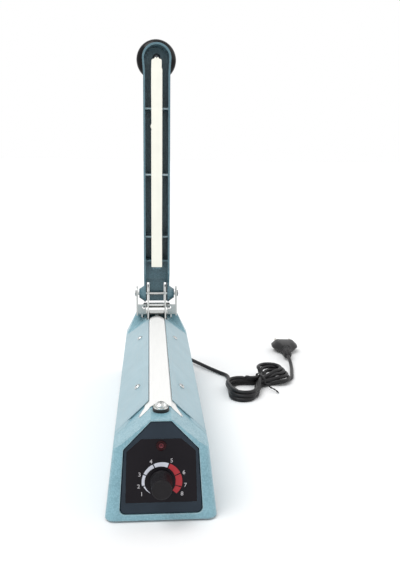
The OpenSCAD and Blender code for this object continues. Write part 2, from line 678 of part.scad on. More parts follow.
module clamp_section() {
    rise = plate_lift / cos(roof_angle);
    thick = plate_t / cos(roof_angle);
    edge = shoulder_w / 2 - 0.6;
    lip_z = cloth_top - 0.6;
    polygon([[edge, roof_z(edge) + rise], [plate_crease, roof_z(plate_crease) + rise],
        [cloth_w / 2 + 0.5, lip_z - 0.5], [cloth_w / 2 + 0.5, lip_z], [cloth_w / 2 + 1.1, lip_z],
        [plate_crease + 0.1, roof_z(plate_crease + 0.1) + rise + thick],
        [edge, roof_z(edge) + rise + thick]]);
}

module clamp_plate_left() clamp_plate(-1);
module clamp_plate_right() clamp_plate(1);

module clamp_screws() placed() color("silver") for (side = [-1, 1], y = clamp_ys) on_roof(side)
    translate([clamp_s, y, plate_lift + plate_t])
        pan_screw(screw_head_r, 1.8, screw_r, plate_lift + plate_t + wall + 3);

module terminal_base() placed() color([0.12, 0.12, 0.12]) difference() {
    translate([0, terminal_y, ridge_h]) cylinder(h = terminal_top - ridge_h, r = terminal_r);
    translate([0, terminal_y, ridge_h - 1]) cylinder(h = 9, r = 2 + run);
}

module terminal_washer() placed() color("silver") difference() {
    translate([0, terminal_y, terminal_top + ribbon_t]) cylinder(h = 0.8, r = terminal_r - 0.5);
    translate([0, terminal_y, terminal_top - 1]) cylinder(h = 4, r = 2 + run);
}

module terminal_screws() placed() color("silver") {
    translate([0, terminal_y, terminal_top + ribbon_t + 0.8]) pan_screw(4.2, 3.2, 2, 17);
    translate([0, rear_screw_y, tab_z + tab_t]) pan_screw(2.6, 2, 1.5, tab_t + 5);
}

module rear_terminal_block() placed() color([0.3, 0.2, 0.14]) difference() {
    side_slab(-ridge_w / 2 + 1.2, ridge_w / 2 - 1.2) polygon([[block_front, block_top],
        [slot_front - 0.5, block_top],
        [slot_front - 0.5, tab_z], [slot_front + 13, tab_z],
        [slot_front + 13, tab_z - block_drop], [block_front, tab_z - block_drop]]);
    translate([0, rear_screw_y, tab_z - 6]) cylinder(h = 9, r = 1.5 + run);
}

module rear_terminal_tab() placed() color([0.85, 0.83, 0.78]) difference() {
    block([-4, slot_front + 0.5, tab_z], [4, slot_front + 12, tab_z + tab_t]);
    translate([0, rear_screw_y, tab_z - 6]) cylinder(h = 9, r = 1.5 + run);
}

// ---------- hinge ----------

module cheek_outline() difference() {
    union() {
        translate([pivot_y, pivot_z]) circle(r = cheek_r);
        polygon([[bracket_front - 6, deck_z + 0.01], [bracket_rear, deck_z + 0.01],
            [pivot_y + cheek_r, pivot_z], [pivot_y - cheek_r, pivot_z]]);
    }
    translate([pivot_y, pivot_z]) circle(r = pivot_d / 2 + run);
    translate([pivot_y, pivot_z + link_travel]) circle(r = pivot_d / 2 + run);
    translate([pivot_y - pivot_d / 2 - run, pivot_z]) square([pivot_d + 2 * run, link_travel]);
}

module hinge_bracket() placed() color([0.78, 0.78, 0.76]) difference() {
    union() {
        for (side = [-1, 1]) sided(side) side_slab(cheek_in, cheek_out) cheek_outline();
        block([-cheek_out, bracket_front, deck_z], [cheek_out, bracket_rear, bracket_top]);
        for (side = [-1, 1]) sided(side)
            block([cheek_in - 9, bracket_front - 6, bracket_top + 1.5],
                [cheek_in + 0.5, bracket_front - 6 + bracket_t, guide_z + 3.4]);
    }
    for (side = [-1, 1]) sided(side) {
        block([link_in - 0.5, 0, 0], [link_out + 0.5, slot_rear - 1.5, bracket_top + 1]);
        translate([bracket_screw_x, bracket_screw_y, 0]) cylinder(h = 99, r = screw_r + run);
        along_y(0, bracket_front, link_out + 4, guide_z, 2);
    }
}

module bracket_screws() placed() color("silver") for (side = [-1, 1])
    translate([side * bracket_screw_x, bracket_screw_y, bracket_top])
        pan_screw(screw_head_r, 1.8, screw_r, bracket_t + 8);

module plate_outline() {
    top = [pivot_y - 3.1, pivot_z + 5.2];
    r = 5.6;
    translate(top) circle(r = r);
    polygon([[top.x - r, top.y], [slot_front + 2.5, deck_z], [slot_front + 2.5, foot_plate_z + 6],
        [spring_y - 6, foot_plate_z], [top.x + r, foot_plate_z], [top.x + r, top.y]]);
}

module link_plates() placed() color([0.8, 0.82, 0.84]) for (side = [-1, 1]) sided(side) difference() {
    side_slab(link_in, link_out) plate_outline();
    along_x(0, 20, pivot_y, pivot_z, pivot_d / 2 + run);
    along_x(0, 20, pivot_y, guide_z, guide_d / 2 + run);
}

module link_foot() placed() color([0.7, 0.72, 0.74])
    block([-link_in, spring_y - 14, foot_plate_z], [link_in, spring_y + 4.4, foot_plate_z + foot_plate_t]);

module pivot_pin() placed() color("silver")
    along_x(-cheek_out - 2, cheek_out + 2, pivot_y, pivot_z, pivot_d / 2);

module pin_clips() placed() color([0.3, 0.3, 0.32]) for (side = [-1, 1]) sided(side) difference() {
    along_x(cheek_out + clear, cheek_out + clear + 0.9, pivot_y, pivot_z, pivot_d / 2 + 1.8);
    along_x(0, 40, pivot_y, pivot_z, pivot_d / 2 + 0.02);
    block([cheek_out, pivot_y - 0.9, pivot_z - 8], [cheek_out + 3, pivot_y + 0.9, pivot_z]);
}

module guide_pin() placed() color("silver")
    along_x(-link_out - 5, link_out + 5, pivot_y, guide_z, guide_d / 2);

module spacer_tube() placed() color([0.85, 0.85, 0.85]) difference() {
    along_x(-link_in + seat, link_in - seat, pivot_y, guide_z, guide_d / 2 + 1);
    along_x(-20, 20, pivot_y, guide_z, guide_d / 2 + run);
}

// Compression spring that holds the link down.
module link_spring() placed() color("silver") translate([0, spring_y, foot_plate_z + foot_plate_t + 0.5])
    tube(coil_path(3.6, 5, (deck_z - foot_plate_z - foot_plate_t - 1) / 5), 0.45, 6);

// Pair of torsion springs on the guide pin's ends; each leg hooks behind the arm's side wall.
module torsion_springs() placed() color("silver") for (side = [-1, 1]) sided(side)
    translate([link_out + 0.8, pivot_y, guide_z])
        tube([for (p = coil_path(guide_d / 2 + 0.85, 3, 1.3)) [p.z, p.x, p.y]], 0.5, 6, [1, 0, 0]);

// ---------- arm ----------

module arm_front(t) union() {
    translate([0, arm_top - arm_end_r]) circle(r = arm_end_r - t);
    polygon([[-arm_w / 2 + t, pivot_z - hub_r], [arm_w / 2 - t, pivot_z - hub_r],
        [arm_w / 2 - t, arm_top - 2 * arm_end_r], [arm_end_r - t, arm_top - arm_end_r],
        [-arm_end_r + t, arm_top - arm_end_r], [-arm_w / 2 + t, arm_top - 2 * arm_end_r]]);
}

// Side view of the arm's walls, which recede in front of the hub.
module arm_side() {
    polygon([[arm_rim_y, strip_low - 8], [pivot_y - hub_r, strip_low - 20], [pivot_y - hub_r, pivot_z],
        [pivot_y, pivot_z - hub_r], [arm_back_y, pivot_z - hub_r],
        [arm_back_y, arm_top + 1], [arm_rim_y, arm_top + 1]]);
    intersection() {
        translate([pivot_y, pivot_z]) circle(r = hub_r);
        translate([pivot_y - base_w, pivot_z - base_w]) square([base_w + arm_back, 2 * base_w]);
    }
}

module press_arm() placed() color([0.28, 0.4, 0.43]) difference() {
    union() {
        difference() {
            intersection() {
                side_slab(-30, 30) arm_side();
                cross_slab(0, base_l + 40) arm_front(0);
            }
            cross_slab(0, arm_floor_y) arm_front(arm_wall);
        }
        block([-rail_w / 2, strip_face_y + strip_t, strip_low - 3],
            [rail_w / 2, arm_floor_y + 0.5, strip_high - 1]);
        for (z = rib_zs)
            block([-arm_in - 0.5, strip_face_y + strip_t + 1.5, z - 0.9],
                [arm_in + 0.5, arm_floor_y + 0.5, z + 0.9]);
        block([-arm_in - 0.5, pivot_y - 1, pivot_z + 17], [arm_in + 0.5, arm_floor_y + 0.5, strip_low + 6]);
        for (side = [-1, 1]) sided(side) translate([arm_w / 2 - 1, pivot_y, pivot_z]) rotate([0, 90, 0])
            cylinder(h = hub_out - arm_w / 2 + 1, r1 = hub_r, r2 = hub_end_r);
    }
    for (side = [-1, 1]) sided(side)
        block([link_in - 0.5, arm_floor_y - 2, pivot_z - 20],
            [link_out + 0.5, arm_back_y + 1, pivot_z + 11.8]);
    along_x(-40, 40, pivot_y, pivot_z, pivot_d / 2 + run);
    along_y(arm_floor_y - 20, arm_back_y + 5, 0, knob_z, 2 + run);
}

module silicone_strip() placed() color([0.95, 0.94, 0.88])
    block([-strip_w / 2, strip_face_y, strip_low], [strip_w / 2, strip_face_y + strip_t, strip_high]);

// Mushroom-shaped knob on the back of the arm's free end.
module press_knob() placed() color([0.05, 0.05, 0.05])
    translate([0, arm_back_y, knob_z]) rotate([-90, 0, 0])
    difference() {
        rotate_extrude($fn = 64) polygon(concat([[0, 0], [9, 0], [8.2, 2], [9, 5], [knob_d * 0.36, 8.5]],
            [for (a = [-50 : 20 : 90]) [knob_d / 2 - 7 + 7 * cos(a), knob_h - 9 + 7 * sin(a)]],
            [[knob_d * 0.2, knob_h - 0.6], [0, knob_h]]));
        translate([0, 0, -1]) cylinder(h = 15, r = 2 + run);
    }

module knob_screw() placed() color("silver") translate([0, arm_floor_y, knob_z]) rotate([90, 0, 0])
    pan_screw(4, 2.4, 2, arm_back_t + 12);

// ---------- mains lead ----------

module inner_wires() placed() color([0.7, 0.15, 0.1]) {
    front = core_y - core_l / 3 - 8;
    rear = core_y + core_l / 3 + 8;
    gap = front - terminal_y;
    drop = ridge_h - 15.5;
    tube([[0, terminal_y, drop], [3, terminal_y + 0.06 * gap, drop - 4.5],
        [6, terminal_y + 0.25 * gap, drop - 8.5],
        [12, terminal_y + 0.5 * gap, 48], [18, terminal_y + 0.75 * gap, 46], [20, front, 43],
        [20, front + 8, 42]],
        1.2, 8);
    tube([[-20, rear - 8, 42], [-20, rear, 43], [-15, rear + 0.4 * (block_front - rear), 50],
        [-5, block_front - 31, tab_z - 8.8], [0, block_front - 8, tab_z - 5.8],
        [0, block_front - 0.3, tab_z - 3]], 1.2, 8);
}

// Strain relief clamped in the rear wall, with a tapering sleeve.
module cord_gland() placed() color([0.08, 0.08, 0.08]) translate([gland_x, 0, gland_z]) rotate([-90, 0, 0])
    rotate_extrude() polygon([[0, base_l - 14], [6.5, base_l - 14], [6.5, base_l - 11], [5, base_l - 10.5],
        [5, base_l - 0.4], [7, base_l - 0.4], [7, base_l + 1.2], [5.2, base_l + 2.2],
        [cord_d / 2 + 0.7, base_l + gland_l], [0, base_l + gland_l]]);

module cord_lead() behind() color([0.06, 0.06, 0.06]) tube(lead_route, cord_d / 2, 10);

module cord_tail() behind() color([0.06, 0.06, 0.06])
    tube(concat(tail_route, [plug_point(-sleeve_l - 4), plug_point(-sleeve_l)]), cord_d / 2, 10);

function plug_point(y) = [plug_at.x - y * sin(plug_turn), plug_at.y + y * cos(plug_turn), plug_at.z];

module at_tie() translate([tie_at.x, tie_at.y, hank_h / 2]) rotate([0, 0, tie_turn]) children();
function by_tie(x, y) =
    tie_at + [x * cos(tie_turn) - y * sin(tie_turn), x * sin(tie_turn) + y * cos(tie_turn)];

// Outline of the hank: a large lobe, a narrow waist under the tie and a fan of small loops.
module hank_outline() polygon(concat([by_tie(-tie_w, -hank_waist), by_tie(tie_w, -hank_waist)],
    arc(hank_end, 18.5, end_turn - 115, end_turn + 115, 16),
    [by_tie(tie_w, hank_waist), by_tie(-tie_w, hank_waist)],
    arc(hank_top, 18, 75, 180, 8), arc(hank_bottom, 15.5, 180, 330, 10), [hank_bottom + [19.2, 8]]));

module cord_hank() behind() color([0.06, 0.06, 0.06]) translate([0, 0, 0.2]) difference() {
    linear_extrude(hank_h) hank_outline();
    at_tie() difference() {
        cube([tie_w + 0.4, 4 * hank_waist, 2 * hank_h], center = true);
        cube([tie_w + 2, 2 * (hank_waist - 1), hank_h - 2 * (tie_t + seat)], center = true);
    }
}

module hank_tie() behind() color([0.1, 0.1, 0.1]) translate([0, 0, 0.2]) at_tie() difference() {
    cube([tie_w, 2 * hank_waist - 0.4, hank_h], center = true);
    cube([99, 2 * (hank_waist - 1 + seat), hank_h - 2 * tie_t], center = true);
}

module at_plug() behind() translate(plug_at) rotate([0, 0, plug_turn]) children();

module plug_sleeve() at_plug() color([0.06, 0.06, 0.06]) rotate([90, 0, 0])
    rotate_extrude() polygon([[0, 0], [5.4, 0], [5, 4], [cord_d / 2 + 0.6, sleeve_l], [0, sleeve_l]]);

module plug_body() at_plug() color([0.06, 0.06, 0.06]) difference() {
    translate([0, 0, -plug_t / 2]) linear_extrude(plug_t) polygon([[-7, 0], [7, 0], [plug_w / 2 - 3, 9],
        [plug_w / 2, 14], [plug_w / 2, plug_l - 2], [plug_w / 2 - 2, plug_l], [-plug_w / 2 + 2, plug_l],
        [-plug_w / 2, plug_l - 2], [-plug_w / 2, 14], [-plug_w / 2 + 3, 9]]);
    for (side = [-1, 1]) along_y(plug_l - 10, plug_l + 1, side * pin_spread, 0, pin_r + run);
}

module plug_pins() at_plug() color("silver") for (side = [-1, 1])
    translate([side * pin_spread, plug_l - 9, 0]) rotate([-90, 0, 0])
        rotate_extrude() polygon([[0, 0], [pin_r - 0.4, 0], [pin_r - 0.4, 9], [pin_r, 9],
            [pin_r, pin_l + 8.2], [pin_r - 0.8, pin_l + 9], [0, pin_l + 9]]);

base_shell();
bottom_cover();
cover_screws();
rubber_feet();
control_panel();
dial_label();
lamp_bezel();
lamp_lens();
neon_lamp();
potentiometer();
potentiometer_nut();
dial_shaft();
timer_knob();
control_board();
board_screws();
timer_relay();
board_capacitor();
transformer_core();
transformer_coil();
transformer_clamp();
transformer_screws();
switch_body();
switch_bracket();
switch_screws();
switch_lever();
sealing_bar();
heating_ribbon();
release_cloth();
clamp_plate_left();
clamp_plate_right();
clamp_screws();
terminal_base();
terminal_washer();
terminal_screws();
rear_terminal_block();
rear_terminal_tab();
hinge_bracket();
bracket_screws();
link_plates();
link_foot();
pivot_pin();
pin_clips();
guide_pin();
spacer_tube();
link_spring();
torsion_springs();
press_arm();
silicone_strip();
press_knob();
knob_screw();
inner_wires();
cord_gland();
cord_lead();
cord_hank();
hank_tie();
cord_tail();
plug_sleeve();
plug_body();
plug_pins();
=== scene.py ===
import json
import logging
import math
from dataclasses import dataclass, field
from enum import Enum
from typing import Callable, ClassVar, Iterable, Sequence, Union

import bmesh
import bpy
from mathutils import Matrix, Vector


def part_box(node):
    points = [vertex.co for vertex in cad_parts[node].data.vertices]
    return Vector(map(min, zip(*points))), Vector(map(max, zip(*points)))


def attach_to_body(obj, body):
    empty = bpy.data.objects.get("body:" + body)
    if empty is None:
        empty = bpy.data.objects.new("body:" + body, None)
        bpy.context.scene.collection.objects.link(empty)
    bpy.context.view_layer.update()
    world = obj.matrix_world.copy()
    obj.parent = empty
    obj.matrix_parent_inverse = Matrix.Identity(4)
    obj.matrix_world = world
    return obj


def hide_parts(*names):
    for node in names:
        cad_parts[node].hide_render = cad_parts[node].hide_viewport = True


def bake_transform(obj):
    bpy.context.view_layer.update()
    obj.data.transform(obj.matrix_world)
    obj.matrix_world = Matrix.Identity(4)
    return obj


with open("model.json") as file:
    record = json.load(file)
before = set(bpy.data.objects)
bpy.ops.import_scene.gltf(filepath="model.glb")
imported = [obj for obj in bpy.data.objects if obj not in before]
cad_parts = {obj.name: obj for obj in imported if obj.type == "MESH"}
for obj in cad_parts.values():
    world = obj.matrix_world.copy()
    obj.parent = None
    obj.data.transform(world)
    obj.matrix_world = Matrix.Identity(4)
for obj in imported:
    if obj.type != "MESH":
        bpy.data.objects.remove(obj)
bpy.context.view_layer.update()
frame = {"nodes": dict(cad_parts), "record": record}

LOG = logging.getLogger("heat_sealer")
logging.basicConfig(level=logging.INFO, format="%(name)s: %(message)s")

Colour = tuple[float, float, float]
Socket = bpy.types.NodeSocket
Value = Union[Socket, float, tuple]

MM = 0.001
CENTRE_Y = 163.6        # front foot of the casing to the frame's origin
CASING_LENGTH = 320.0
FACE_LEAN = math.radians(6.5)
LAMP_V = 55.6           # height of the pilot lamp up the front face
RIDGE_HEIGHT = 74.0
RIDGE_HALF = 7.5
ROOF_FALL = 0.830189    # how far the roof falls for each millimetre outward
UP = Vector((0, 0, 1))
NUMBER = "NodeSocketFloat"


# ---------- places and meshes ----------

def spot(x: float, y: float, z: float) -> Vector:
    """Turns millimetres from the casing's front foot into the frame's metres.

    Args:
        x: Across the casing, to the right.
        y: Back from the casing's front foot.
        z: Up from the table.

    Returns:
        The point in the shared frame.
    """
    return Vector((x * MM, (y - CENTRE_Y) * MM, z * MM))


def face_spot(x: float, v: float, w: float) -> Vector:
    """Turns millimetres on the leaning front face into the frame's metres.

    Args:
        x: Across the face.
        v: Up along the face from the table.
        w: Out of the face.

    Returns:
        The point in the shared frame.
    """
    lean_sin, lean_cos = math.sin(FACE_LEAN), math.cos(FACE_LEAN)
    return spot(x, v * lean_sin - w * lean_cos, v * lean_cos + w * lean_sin)


def roof(x: float) -> float:
    """Height of the casing's roof at a distance from its middle."""
    return RIDGE_HEIGHT - max(x - RIDGE_HALF, 0) * ROOF_FALL


def linear(hex_colour: str) -> Colour:
    """Turns a screen colour such as "7fa3ad" into linear light.

    Args:
        hex_colour: Six hexadecimal digits.

    Returns:
        Red, green and blue as the shader reads them.
    """
    parts = [int(hex_colour[i:i + 2], 16) / 255 for i in (0, 2, 4)]
    bent = [p / 12.92 if p <= 0.04045 else ((p + 0.055) / 1.055) ** 2.4 for p in parts]
    return bent[0], bent[1], bent[2]


def between(table: Sequence[tuple[float, float]], at: float) -> float:
    """Reads a value from a short table of (place, value) pairs.

    Args:
        table: Pairs in rising order of place.
        at: The place to read.

    Returns:
        The value, in a straight line between the two nearest pairs.
    """
    if at <= table[0][0]:
        return table[0][1]
    for (a, low), (b, high) in zip(table[:-1], table[1:]):
        if at <= b:
            return low + (high - low) * (at - a) / (b - a)
    return table[-1][1]


def full_turn(count: int) -> list[float]:
    """Angles in equal steps round a full turn, in radians."""
    return [2 * math.pi * k / count for k in range(count)]


def ease(t: float) -> float:
    """Smooth step from 0 to 1."""
    t = min(max(t, 0.0), 1.0)
    return t * t * (3 - 2 * t)


def mesh_piece(
    name: str,
    points: Iterable[Vector],
    faces: Iterable[Sequence[int]],
    material: bpy.types.Material,
    smooth: bool = True,
) -> bpy.types.Object:
    """Makes one mesh object from points and faces, with its faces turned outward.

    Args:
        name: The piece's name.
        points: Corners in the shared frame.
        faces: Corner numbers of each face.
        material: The finish.
        smooth: Whether its faces are shaded round.

    Returns:
        The new object, linked to the scene.
    """
    mesh = bpy.data.meshes.new(name)
    mesh.from_pydata([tuple(p) for p in points], [], [list(f) for f in faces])
    work = bmesh.new()
    work.from_mesh(mesh)
    bmesh.ops.recalc_face_normals(work, faces=work.faces)
    for face in work.faces:
        face.smooth = smooth
    work.to_mesh(mesh)
    work.free()
    mesh.materials.append(material)
    piece = bpy.data.objects.new(name, mesh)
    bpy.context.scene.collection.objects.link(piece)
    return piece


def soften(piece: bpy.types.Object, width: float, segments: int = 2, angle: float = 35.0) -> None:
    """Rounds a piece's edges by a small bevel.

    Args:
        piece: The mesh object.
        width: Bevel width in millimetres.
        segments: Steps across the bevel.
        angle: Edges flatter than this, in degrees, stay as they are.
    """
    edge = piece.modifiers.new("soft_edge", "BEVEL")
    edge.width = width * MM
    edge.segments = segments
    edge.limit_method = "ANGLE"
    edge.angle_limit = math.radians(angle)
    edge.harden_normals = True


def loft(rings: Sequence[Sequence[Vector]], closed: bool = True, caps: bool = True) -> tuple[list, list]:
    """Joins rings of equal length into a skin.

    Args:
        rings: One list of points for each station.
        closed: Whether each ring's last point joins its first.
        caps: Whether the first and last ring are filled.

    Returns:
        Points and faces.
    """
    count = len(rings[0])
    points = [p for one in rings for p in one]
    faces: list[list[int]] = []
    span = count if closed else count - 1
    for i in range(len(rings) - 1):
        for k in range(span):
            a, b = i * count + k, i * count + (k + 1) % count
            faces.append([a, b, b + count, a + count])
    if caps:
        faces.append(list(range(count))[::-1])
        faces.append([(len(rings) - 1) * count + k for k in range(count)])
    return points, faces


def add_skin(points: list[Vector], faces: list[list[int]], rings: Sequence[Sequence[Vector]]) -> None:
    """Lofts rings and adds their skin to a growing mesh.

    Args:
        points: The mesh's corners so far.
        faces: Its faces so far.
        rings: One list of points for each station.
    """
    more, skin = loft(rings)
    faces += [[i + len(points) for i in face] for face in skin]
    points += more


# ---------- shader graphs ----------

class Graph:
    """Adds nodes and links to one shader node tree."""

    def __init__(self, tree: bpy.types.NodeTree) -> None:
        """Keeps the tree that the nodes go into."""
        self.tree = tree

    def add(self, kind: str, inputs: dict, **settings: object) -> bpy.types.Node:
        """Adds a node with its inputs linked or set.

        Args:
            kind: Blender's name for the node type.
            inputs: Sockets or plain values by input name or number.
            **settings: The node's own options.

        Returns:
            The new node.
        """
        node = self.tree.nodes.new(kind)
        for name, value in settings.items():
            setattr(node, name, value)
        for key, value in inputs.items():
            if isinstance(value, Socket):
                self.tree.links.new(value, node.inputs[key])
            else:
                node.inputs[key].default_value = value
        return node

    def math(self, operation: str, a: Value, b: Value = 0.0) -> Socket:
        """One Math node's result."""
        return self.add("ShaderNodeMath", {0: a, 1: b}, operation=operation).outputs[0]

    def span(self, value: Value, low: float, high: float) -> Socket:
        """Maps low..high to 0..1, clamped."""
        node = self.add("ShaderNodeMapRange", {"Value": value, "From Min": low, "From Max": high})
        return node.outputs["Result"]

    def scale(self, value: Value, low: float, high: float) -> Socket:
        """Maps 0..1 to low..high, clamped."""
        node = self.add("ShaderNodeMapRange", {"Value": value, "To Min": low, "To Max": high})
        return node.outputs["Result"]

    def vector(self, operation: str, a: Value, b: Value, result: str = "Vector") -> Socket:
        """One Vector Math node's result."""
        return self.add("ShaderNodeVectorMath", {0: a, 1: b}, operation=operation).outputs[result]

    def mix(self, factor: Value, a: Value, b: Value, share: float = 1.0) -> Socket:
        """Mixes two colours.

        Args:
            factor: How much of b shows.
            a: The colour beneath.
            b: The colour on it.
            share: The most that b shows where the factor is 1.

        Returns:
            The mixed colour.
        """
        if share != 1.0:
            factor = self.math("MULTIPLY", factor, share)
        a, b = (v if isinstance(v, Socket) else (*v, 1.0) for v in (a, b))
        return self.add("ShaderNodeMix", {0: factor, 6: a, 7: b}, data_type="RGBA").outputs[2]

    def place(self, stretch: tuple[float, float, float] = (1, 1, 1)) -> Socket:
        """The surface's place on its own object, in millimetres times stretch."""
        where = self.add("ShaderNodeTexCoord", {}).outputs["Object"]
        size = tuple(s / MM for s in stretch)
        return self.vector("MULTIPLY", where, size)

    def noise(self, where: Socket, scale: Value, detail: float = 2.0) -> Socket:
        """A noise texture's grey value."""
        node = self.add("ShaderNodeTexNoise", {"Vector": where, "Scale": scale, "Detail": detail})
        return node.outputs["Fac"]


@dataclass
class Effect:
    """A shader node group that several finishes share, built once on its first use."""

    name: str
    inputs: dict[str, float]
    outputs: dict[str, str]
    fill: Callable[[Graph, bpy.types.Node], dict[str, Socket]]
    made: ClassVar[dict[str, bpy.types.NodeTree]] = {}

    def tree(self) -> bpy.types.NodeTree:
        """Builds the group, or gives the one that is there.

        Returns:
            The node group.
        """
        if self.name in self.made:
            return self.made[self.name]
        group = bpy.data.node_groups.new(self.name, "ShaderNodeTree")
        for label, usual in self.inputs.items():
            group.interface.new_socket(name=label, in_out="INPUT", socket_type=NUMBER).default_value = usual
        for label, kind in self.outputs.items():
            group.interface.new_socket(name=label, in_out="OUTPUT", socket_type=kind)
        graph = Graph(group)
        source = graph.add("NodeGroupInput", {})
        sink = graph.add("NodeGroupOutput", {})
        for label, socket in self.fill(graph, source).items():
            group.links.new(socket, sink.inputs[label])
        self.made[self.name] = group
        return group

    def place(self, g: Graph, values: dict[str, float]) -> bpy.types.Node:
        """Adds the group to a material with the material's own values."""
        return g.add("ShaderNodeGroup", values, node_tree=self.tree())


def worn_edges(g: Graph, source: bpy.types.Node) -> dict[str, Socket]:
    """Finds edges by comparing a rounded normal with the surface's own, for worn paint and a painted edge
    highlight.

    Args:
        g: The group's graph.
        source: The group's input node.

    Returns:
        A socket for each output.
    """
    reach = g.math("MULTIPLY", source.outputs["Radius"], MM)
    soft = g.add("ShaderNodeBevel", {"Radius": reach}, samples=6).outputs[0]
    own = g.add("ShaderNodeNewGeometry", {}).outputs["Normal"]
    same = g.vector("DOT_PRODUCT", soft, own, "Value")
    edge = g.span(g.math("SUBTRACT", 1.0, same), 0.01, 0.16)
    patch = g.span(g.noise(g.place(), source.outputs["Patch"], 3.0), 0.36, 0.62)
    rubbed_and_lit = g.math("MULTIPLY", edge, g.scale(patch, 0.35, 1.0))
    return {"Mask": g.math("MULTIPLY", rubbed_and_lit, source.outputs["Amount"]), "Normal": soft}


def fine_grain(g: Graph, source: bpy.types.Node) -> dict[str, Socket]:
    """Adds a fine noise for the bump and a slow one for cloudiness.

    Args:
        g: The group's graph.
        source: The group's input node.

    Returns:
        A socket for each output.
    """
    fine = g.noise(g.place(), g.math("DIVIDE", 1.0, source.outputs["Size"]), 3.0)
    slow = g.noise(g.place(), source.outputs["Cloud"], 2.0)
    return {"Height": fine, "Tone": g.span(slow, 0.3, 0.7)}


def hammered_cells(g: Graph, source: bpy.types.Node) -> dict[str, Socket]:
    """Adds wobbling cells that pool the paint between them.

    Args:
        g: The group's graph.
        source: The group's input node.

    Returns:
        A socket for each output.
    """
    where = g.place()
    wobble = g.add("ShaderNodeTexNoise", {"Vector": where, "Scale": 0.6, "Detail": 1.0})
    push = g.vector("MULTIPLY", wobble.outputs["Color"], (1.6, 1.6, 1.6))
    moved = g.vector("ADD", where, push)
    size = g.math("DIVIDE", 1.0, source.outputs["Size"])
    cell = g.add("ShaderNodeTexVoronoi", {"Vector": moved, "Scale": size, "Smoothness": 0.7},
                 feature="SMOOTH_F1").outputs["Distance"]
    dish = g.span(cell, 0.1, 0.75)
    cloud = g.noise(where, 0.09, 3.0)
    tone = g.math("ADD", g.math("MULTIPLY", dish, 0.55), g.math("MULTIPLY", cloud, 0.45))
    return {"Height": g.math("SUBTRACT", 1.0, dish), "Tone": tone}


def drawn_lines(g: Graph, source: bpy.types.Node) -> dict[str, Socket]:
    """Stretches a noise by each axis's own pitch, into fine lines along one axis.

    Args:
        g: The group's graph.
        source: The group's input node.

    Returns:
        A socket for each output.
    """
    pitch = g.add("ShaderNodeCombineXYZ", {axis: source.outputs["Across " + axis] for axis in "XYZ"})
    where = g.vector("MULTIPLY", g.place(), pitch.outputs[0])
    lines = g.noise(where, 1.0, 4.0)
    return {"Height": lines, "Tone": g.span(lines, 0.32, 0.68)}


def settled_dust(g: Graph, source: bpy.types.Node) -> dict[str, Socket]:
    """Takes the upward share of the normal, broken up by noise.

    Args:
        g: The group's graph.
        source: The group's input node.

    Returns:
        A socket for each output.
    """
    own = g.add("ShaderNodeNewGeometry", {}).outputs["Normal"]
    up = g.add("ShaderNodeSeparateXYZ", {0: own}).outputs["Z"]
    patch = g.span(g.noise(g.place(), 0.12, 5.0), 0.42, 0.75)
    settled = g.math("MULTIPLY", g.span(up, 0.2, 0.95), patch)
    return {"Mask": g.math("MULTIPLY", settled, source.outputs["Amount"])}


def crossed_threads(g: Graph, source: bpy.types.Node) -> dict[str, Socket]:
    """Crosses two rows of waves into a plain weave.

    Args:
        g: The group's graph.
        source: The group's input node.

    Returns:
        A socket for each output.
    """
    turn = g.math("DIVIDE", math.pi, source.outputs["Pitch"])
    axes = g.add("ShaderNodeSeparateXYZ", {0: g.place()})
    warp = g.math("SINE", g.math("MULTIPLY", axes.outputs["X"], turn))
    weft = g.math("SINE", g.math("MULTIPLY", axes.outputs["Y"], turn))
    over = g.math("MULTIPLY", warp, weft)
    tone = g.noise(g.place((1.0, 0.05, 1.0)), 0.9, 3.0)
    return {"Height": g.scale(g.math("ABSOLUTE", over), 0.0, 1.0), "Tone": g.span(tone, 0.3, 0.7)}


RELIEF = {"Height": NUMBER, "Tone": NUMBER}
# Edge mask: partly worn paint, partly painted edge highlight.
EDGE_WEAR_AND_HIGHLIGHT = Effect("edge_wear_and_highlight", {"Radius": 0.6, "Patch": 0.3, "Amount": 1.0},
                   {"Mask": NUMBER, "Normal": "NodeSocketVector"}, worn_edges)
GRAIN = Effect("grain", {"Size": 0.5, "Cloud": 0.06}, RELIEF, fine_grain)
HAMMER = Effect("hammer", {"Size": 1.4}, RELIEF, hammered_cells)
BRUSHING = Effect("brushing", {"Across X": 5.0, "Across Y": 5.0, "Across Z": 5.0}, RELIEF, drawn_lines)
DUST = Effect("dust", {"Amount": 0.2}, {"Mask": NUMBER}, settled_dust)
WEAVE = Effect("weave", {"Pitch": 0.45}, RELIEF, crossed_threads)


# ---------- finishes ----------

DUST_GREY = linear("d8dcdc")
BRIGHT = linear("f2f4f4")
LENS_CENTRE = tuple(face_spot(0.0, LAMP_V, 0.3))


